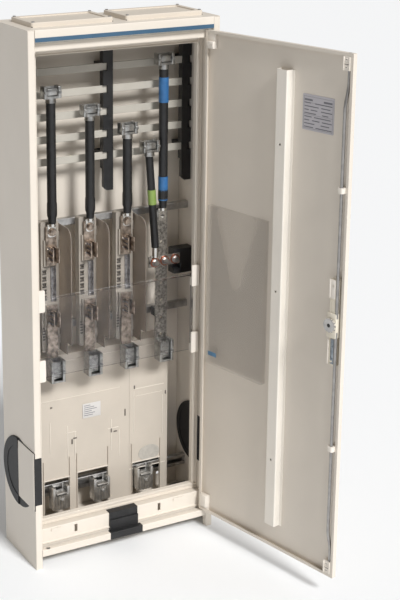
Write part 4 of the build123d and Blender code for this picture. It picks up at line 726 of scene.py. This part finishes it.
# ---- hinge blocks ----
# White moulded blocks at both ends of the hinge edge: a seat plate, a stepped boss
# round the pin and a rib, each held by a screw.
block_form = bmesh.new()
for low_z, high_z, boss_low, boss_high in (
    (0.058, 0.106, 0.070, 0.106),
    (1.3775, 1.4255, 1.3775, 1.398),
):
    on_leaf(block_form, (0.0022, 0.0338), (0.0018, 0.0110), (low_z + 0.0008, high_z - 0.0008), 0.0012)
    on_leaf(block_form, (0.0086, 0.0336), (0.0018, 0.0185), (boss_low + 0.0006, boss_high - 0.0006), 0.0016)
    on_leaf(block_form, (0.0200, 0.0230), (0.0100, 0.0189), (boss_low + 0.0020, boss_high - 0.0020), 0.0008)
    boss_middle = (boss_low + boss_high) / 2
    leaf_post(block_form, 0.0280, boss_middle, (0.0180, 0.0189), 0.0048)
    leaf_post(block_form, 0.0135, boss_middle, (0.0180, 0.0189), 0.0030, 6)
hinge_mouldings = on_door("hinge_mouldings", block_form, white_moulding)
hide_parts("hinge_blocks")

# ---- rod guide fittings ----
# Each white guide block has two countersunk screws, moulded ribs beside and across the rod's path, and a
# dark slot where its halves meet. The black strips on the screw heads are painted shade for their slots;
# the strip where the halves meet is their dark joint.
guide_left, guide_right = 0.4750, 0.4950
guide_middle = 0.4850
guide_ribs = bmesh.new()
guide_joint_and_slot_shade = bmesh.new()
for low_z, high_z in ((0.0652, 0.0982), (1.3838, 1.4168)):
    middle = (low_z + high_z) / 2
    on_leaf(guide_ribs, (guide_left, 0.4775), (0.0120, 0.0160), (low_z, high_z), 0.0006)
    on_leaf(guide_ribs, (0.4930, guide_right), (0.0120, 0.0150), (low_z, high_z), 0.0006)
    middle_rib = (middle - 0.001, middle + 0.001)
    on_leaf(guide_ribs, (guide_left, guide_right), (0.0120, 0.0148), middle_rib, 0.0005)
    for z in (low_z + 0.0070, high_z - 0.0070):
        leaf_post(guide_ribs, guide_middle, z, (0.0130, 0.0146), 0.0034, 24, 0.0028)
        # Black strip on the screw head: painted shade for its slot.
        on_leaf(guide_joint_and_slot_shade, (0.4824, 0.4876), (0.0145, 0.0148), (z - 0.0005, z + 0.0005))
    on_leaf(guide_joint_and_slot_shade, (0.4790, 0.4915), (0.0132, 0.0136), (low_z + 0.0135, low_z + 0.0148))
on_door("guide_ribs", guide_ribs, white_moulding)
on_door("guide_joint_and_slot_shade", guide_joint_and_slot_shade, black_moulding)

# ---- lock gear ----
# The gear's cream moulded body above and below the spindle, with a pale lip along its
# edge, and the blued steel strap that runs down to the lower rod.
spindle_across, spindle_z = 0.476, 0.747
leaf_skin = 0.0017

gear_form = bmesh.new()
on_leaf(gear_form, (0.4610, 0.4920), (leaf_skin, 0.0235), (0.7120, 0.7780), 0.0035)
on_leaf(gear_form, (0.4670, 0.4900), (leaf_skin, 0.0205), (0.7760, 0.8660), 0.0025)
on_leaf(gear_form, (0.4680, 0.4890), (leaf_skin, 0.0195), (0.6380, 0.7130), 0.0025)
for step in range(4):
    across = 0.4700 + step * 0.0048
    on_leaf(gear_form, (across, across + 0.0016), (0.0200, 0.0215), (0.7800, 0.8120), 0.0005)
leaf_post(gear_form, spindle_across, spindle_z, (0.0225, 0.0254), 0.0165, 48, 0.0150)
for z in (0.8480, 0.6520):
    leaf_post(gear_form, 0.4785, z, (0.0190, 0.0222), 0.0036, 6)
gear_cream = finish("gear_cream", (0.80, 0.74, 0.62), 0.93, 30, 500, 0.0002, 0.4, 0.06)
gear_body = on_door("gear_body", gear_form, gear_cream)
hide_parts("latch_case")

lip_form = bmesh.new()
on_leaf(lip_form, (0.4660, 0.4850), (0.0200, 0.0222), (0.8150, 0.8640), 0.0008)
on_leaf(lip_form, (0.4655, 0.4700), (0.0190, 0.0232), (0.8180, 0.8640), 0.0008)
on_leaf(lip_form, (0.4655, 0.4690), (0.0190, 0.0225), (0.6420, 0.7060), 0.0008)
on_door("gear_lip", lip_form, white_moulding)

strap_form = bmesh.new()
on_leaf(strap_form, (0.4745, 0.4850), (0.0190, 0.0208), (0.6440, 0.7100), 0.0006)
for z in (0.6560, 0.6900):
    leaf_post(strap_form, 0.4795, z, (0.0205, 0.0226), 0.0028, 24)
blue_steel = plated("blue_steel", (0.34, 0.38, 0.42), 0.7, 80, 0.32)
on_door("gear_strap", strap_form, blue_steel)

# ---- latch boss ----
# White ribbed thumb boss on the inner end of the spindle, with a flat black square and disc on its middle,
# painted shade for its square hole; the outer hub and ears keep their plating.
boss_ribs, rib_circle = 20, 0.0165
half_socket = 0.004

boss_form = bmesh.new()
leaf_post(boss_form, spindle_across, spindle_z, (0.0260, 0.0290), 0.0168, 48)
leaf_post(boss_form, spindle_across, spindle_z, (0.0290, 0.0315), 0.0150, 48, 0.0138)
for rib in range(boss_ribs):
    turn = rib * tau / boss_ribs
    rib_across = spindle_across + cos(turn) * rib_circle
    rib_z = spindle_z + sin(turn) * rib_circle
    leaf_post(boss_form, rib_across, rib_z, (0.0262, 0.0302), 0.0014, 10)
on_door("thumb_boss", boss_form, white_moulding, "spindle")

# A flat black square and disc laid on the boss: painted shade where its square hole is.
socket_shade_form = bmesh.new()
on_leaf(
    socket_shade_form,
    (spindle_across - half_socket, spindle_across + half_socket),
    (0.0312, 0.0317),
    (spindle_z - half_socket, spindle_z + half_socket),
    0.0002,
)
leaf_post(socket_shade_form, spindle_across, spindle_z, (0.0311, 0.0316), 0.0064, 32)
on_door("boss_socket_shade", socket_shade_form, black_moulding, "spindle")
dress(zinc, "lock_spindle")

# ---- pocket mark ----
# A small plain blue tab of printed film, stuck in the lower corner of the document
# pocket on the hinge side.
tab_form = bmesh.new()
on_leaf(tab_form, (0.0300, 0.0620), (0.0149, 0.0153), (0.5320, 0.5440), 0.0001)
tab_blue = finish("tab_blue", (0.10, 0.24, 0.40), 0.9, 40, 300, 0.00005, 0.4, 0.05)
on_door("pocket_tab", tab_form, tab_blue)

# ---- top entry fittings ----
# A dark gasket line under each blanking plate, raised lugs round its rim and the
# shallow moulded rings of its knock-outs.
plate_spacing = 0.264
half_gasket_wide, half_gasket_deep = 0.1134, 0.0634
lug_reach_x, lug_reach_y = 0.0985, 0.0565
knockout_pitch = 0.062
knockout_rings = ((0.0260, 0.0064), (0.0180, 0.0064 + 0.008 / 14))

gasket_form = bmesh.new()
lug_form = bmesh.new()
low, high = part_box("top_entry_plates")
roof_z = low[2]
plate_y = (low[1] + high[1]) / 2
for plate_x in (-plate_spacing / 2, plate_spacing / 2):
    gasket_deep = (plate_y - half_gasket_deep, plate_y + half_gasket_deep)
    block(gasket_form, plate_x, half_gasket_wide, gasket_deep, (roof_z, roof_z + 0.0022), 0.0006)
    for reach in (-1, -0.35, 0.35, 1):
        for side in (-1, 1):
            x, y = plate_x + reach * lug_reach_x, plate_y + side * lug_reach_y
            block(lug_form, x, 0.007, (y - 0.004, y + 0.004), (roof_z + 0.0090, roof_z + 0.0118), 0.001)
    for column in (-1, 0, 1):
        x = plate_x + column * knockout_pitch
        for radius, ring_rise in knockout_rings:
            turned(lug_form, (x, plate_y, roof_z + 0.0055), (x, plate_y, roof_z + ring_rise), radius, 48)
finished("entry_gaskets", gasket_form, entry_rubber, "casing")
finished("entry_lugs", lug_form, top_plate_plastic, "casing")
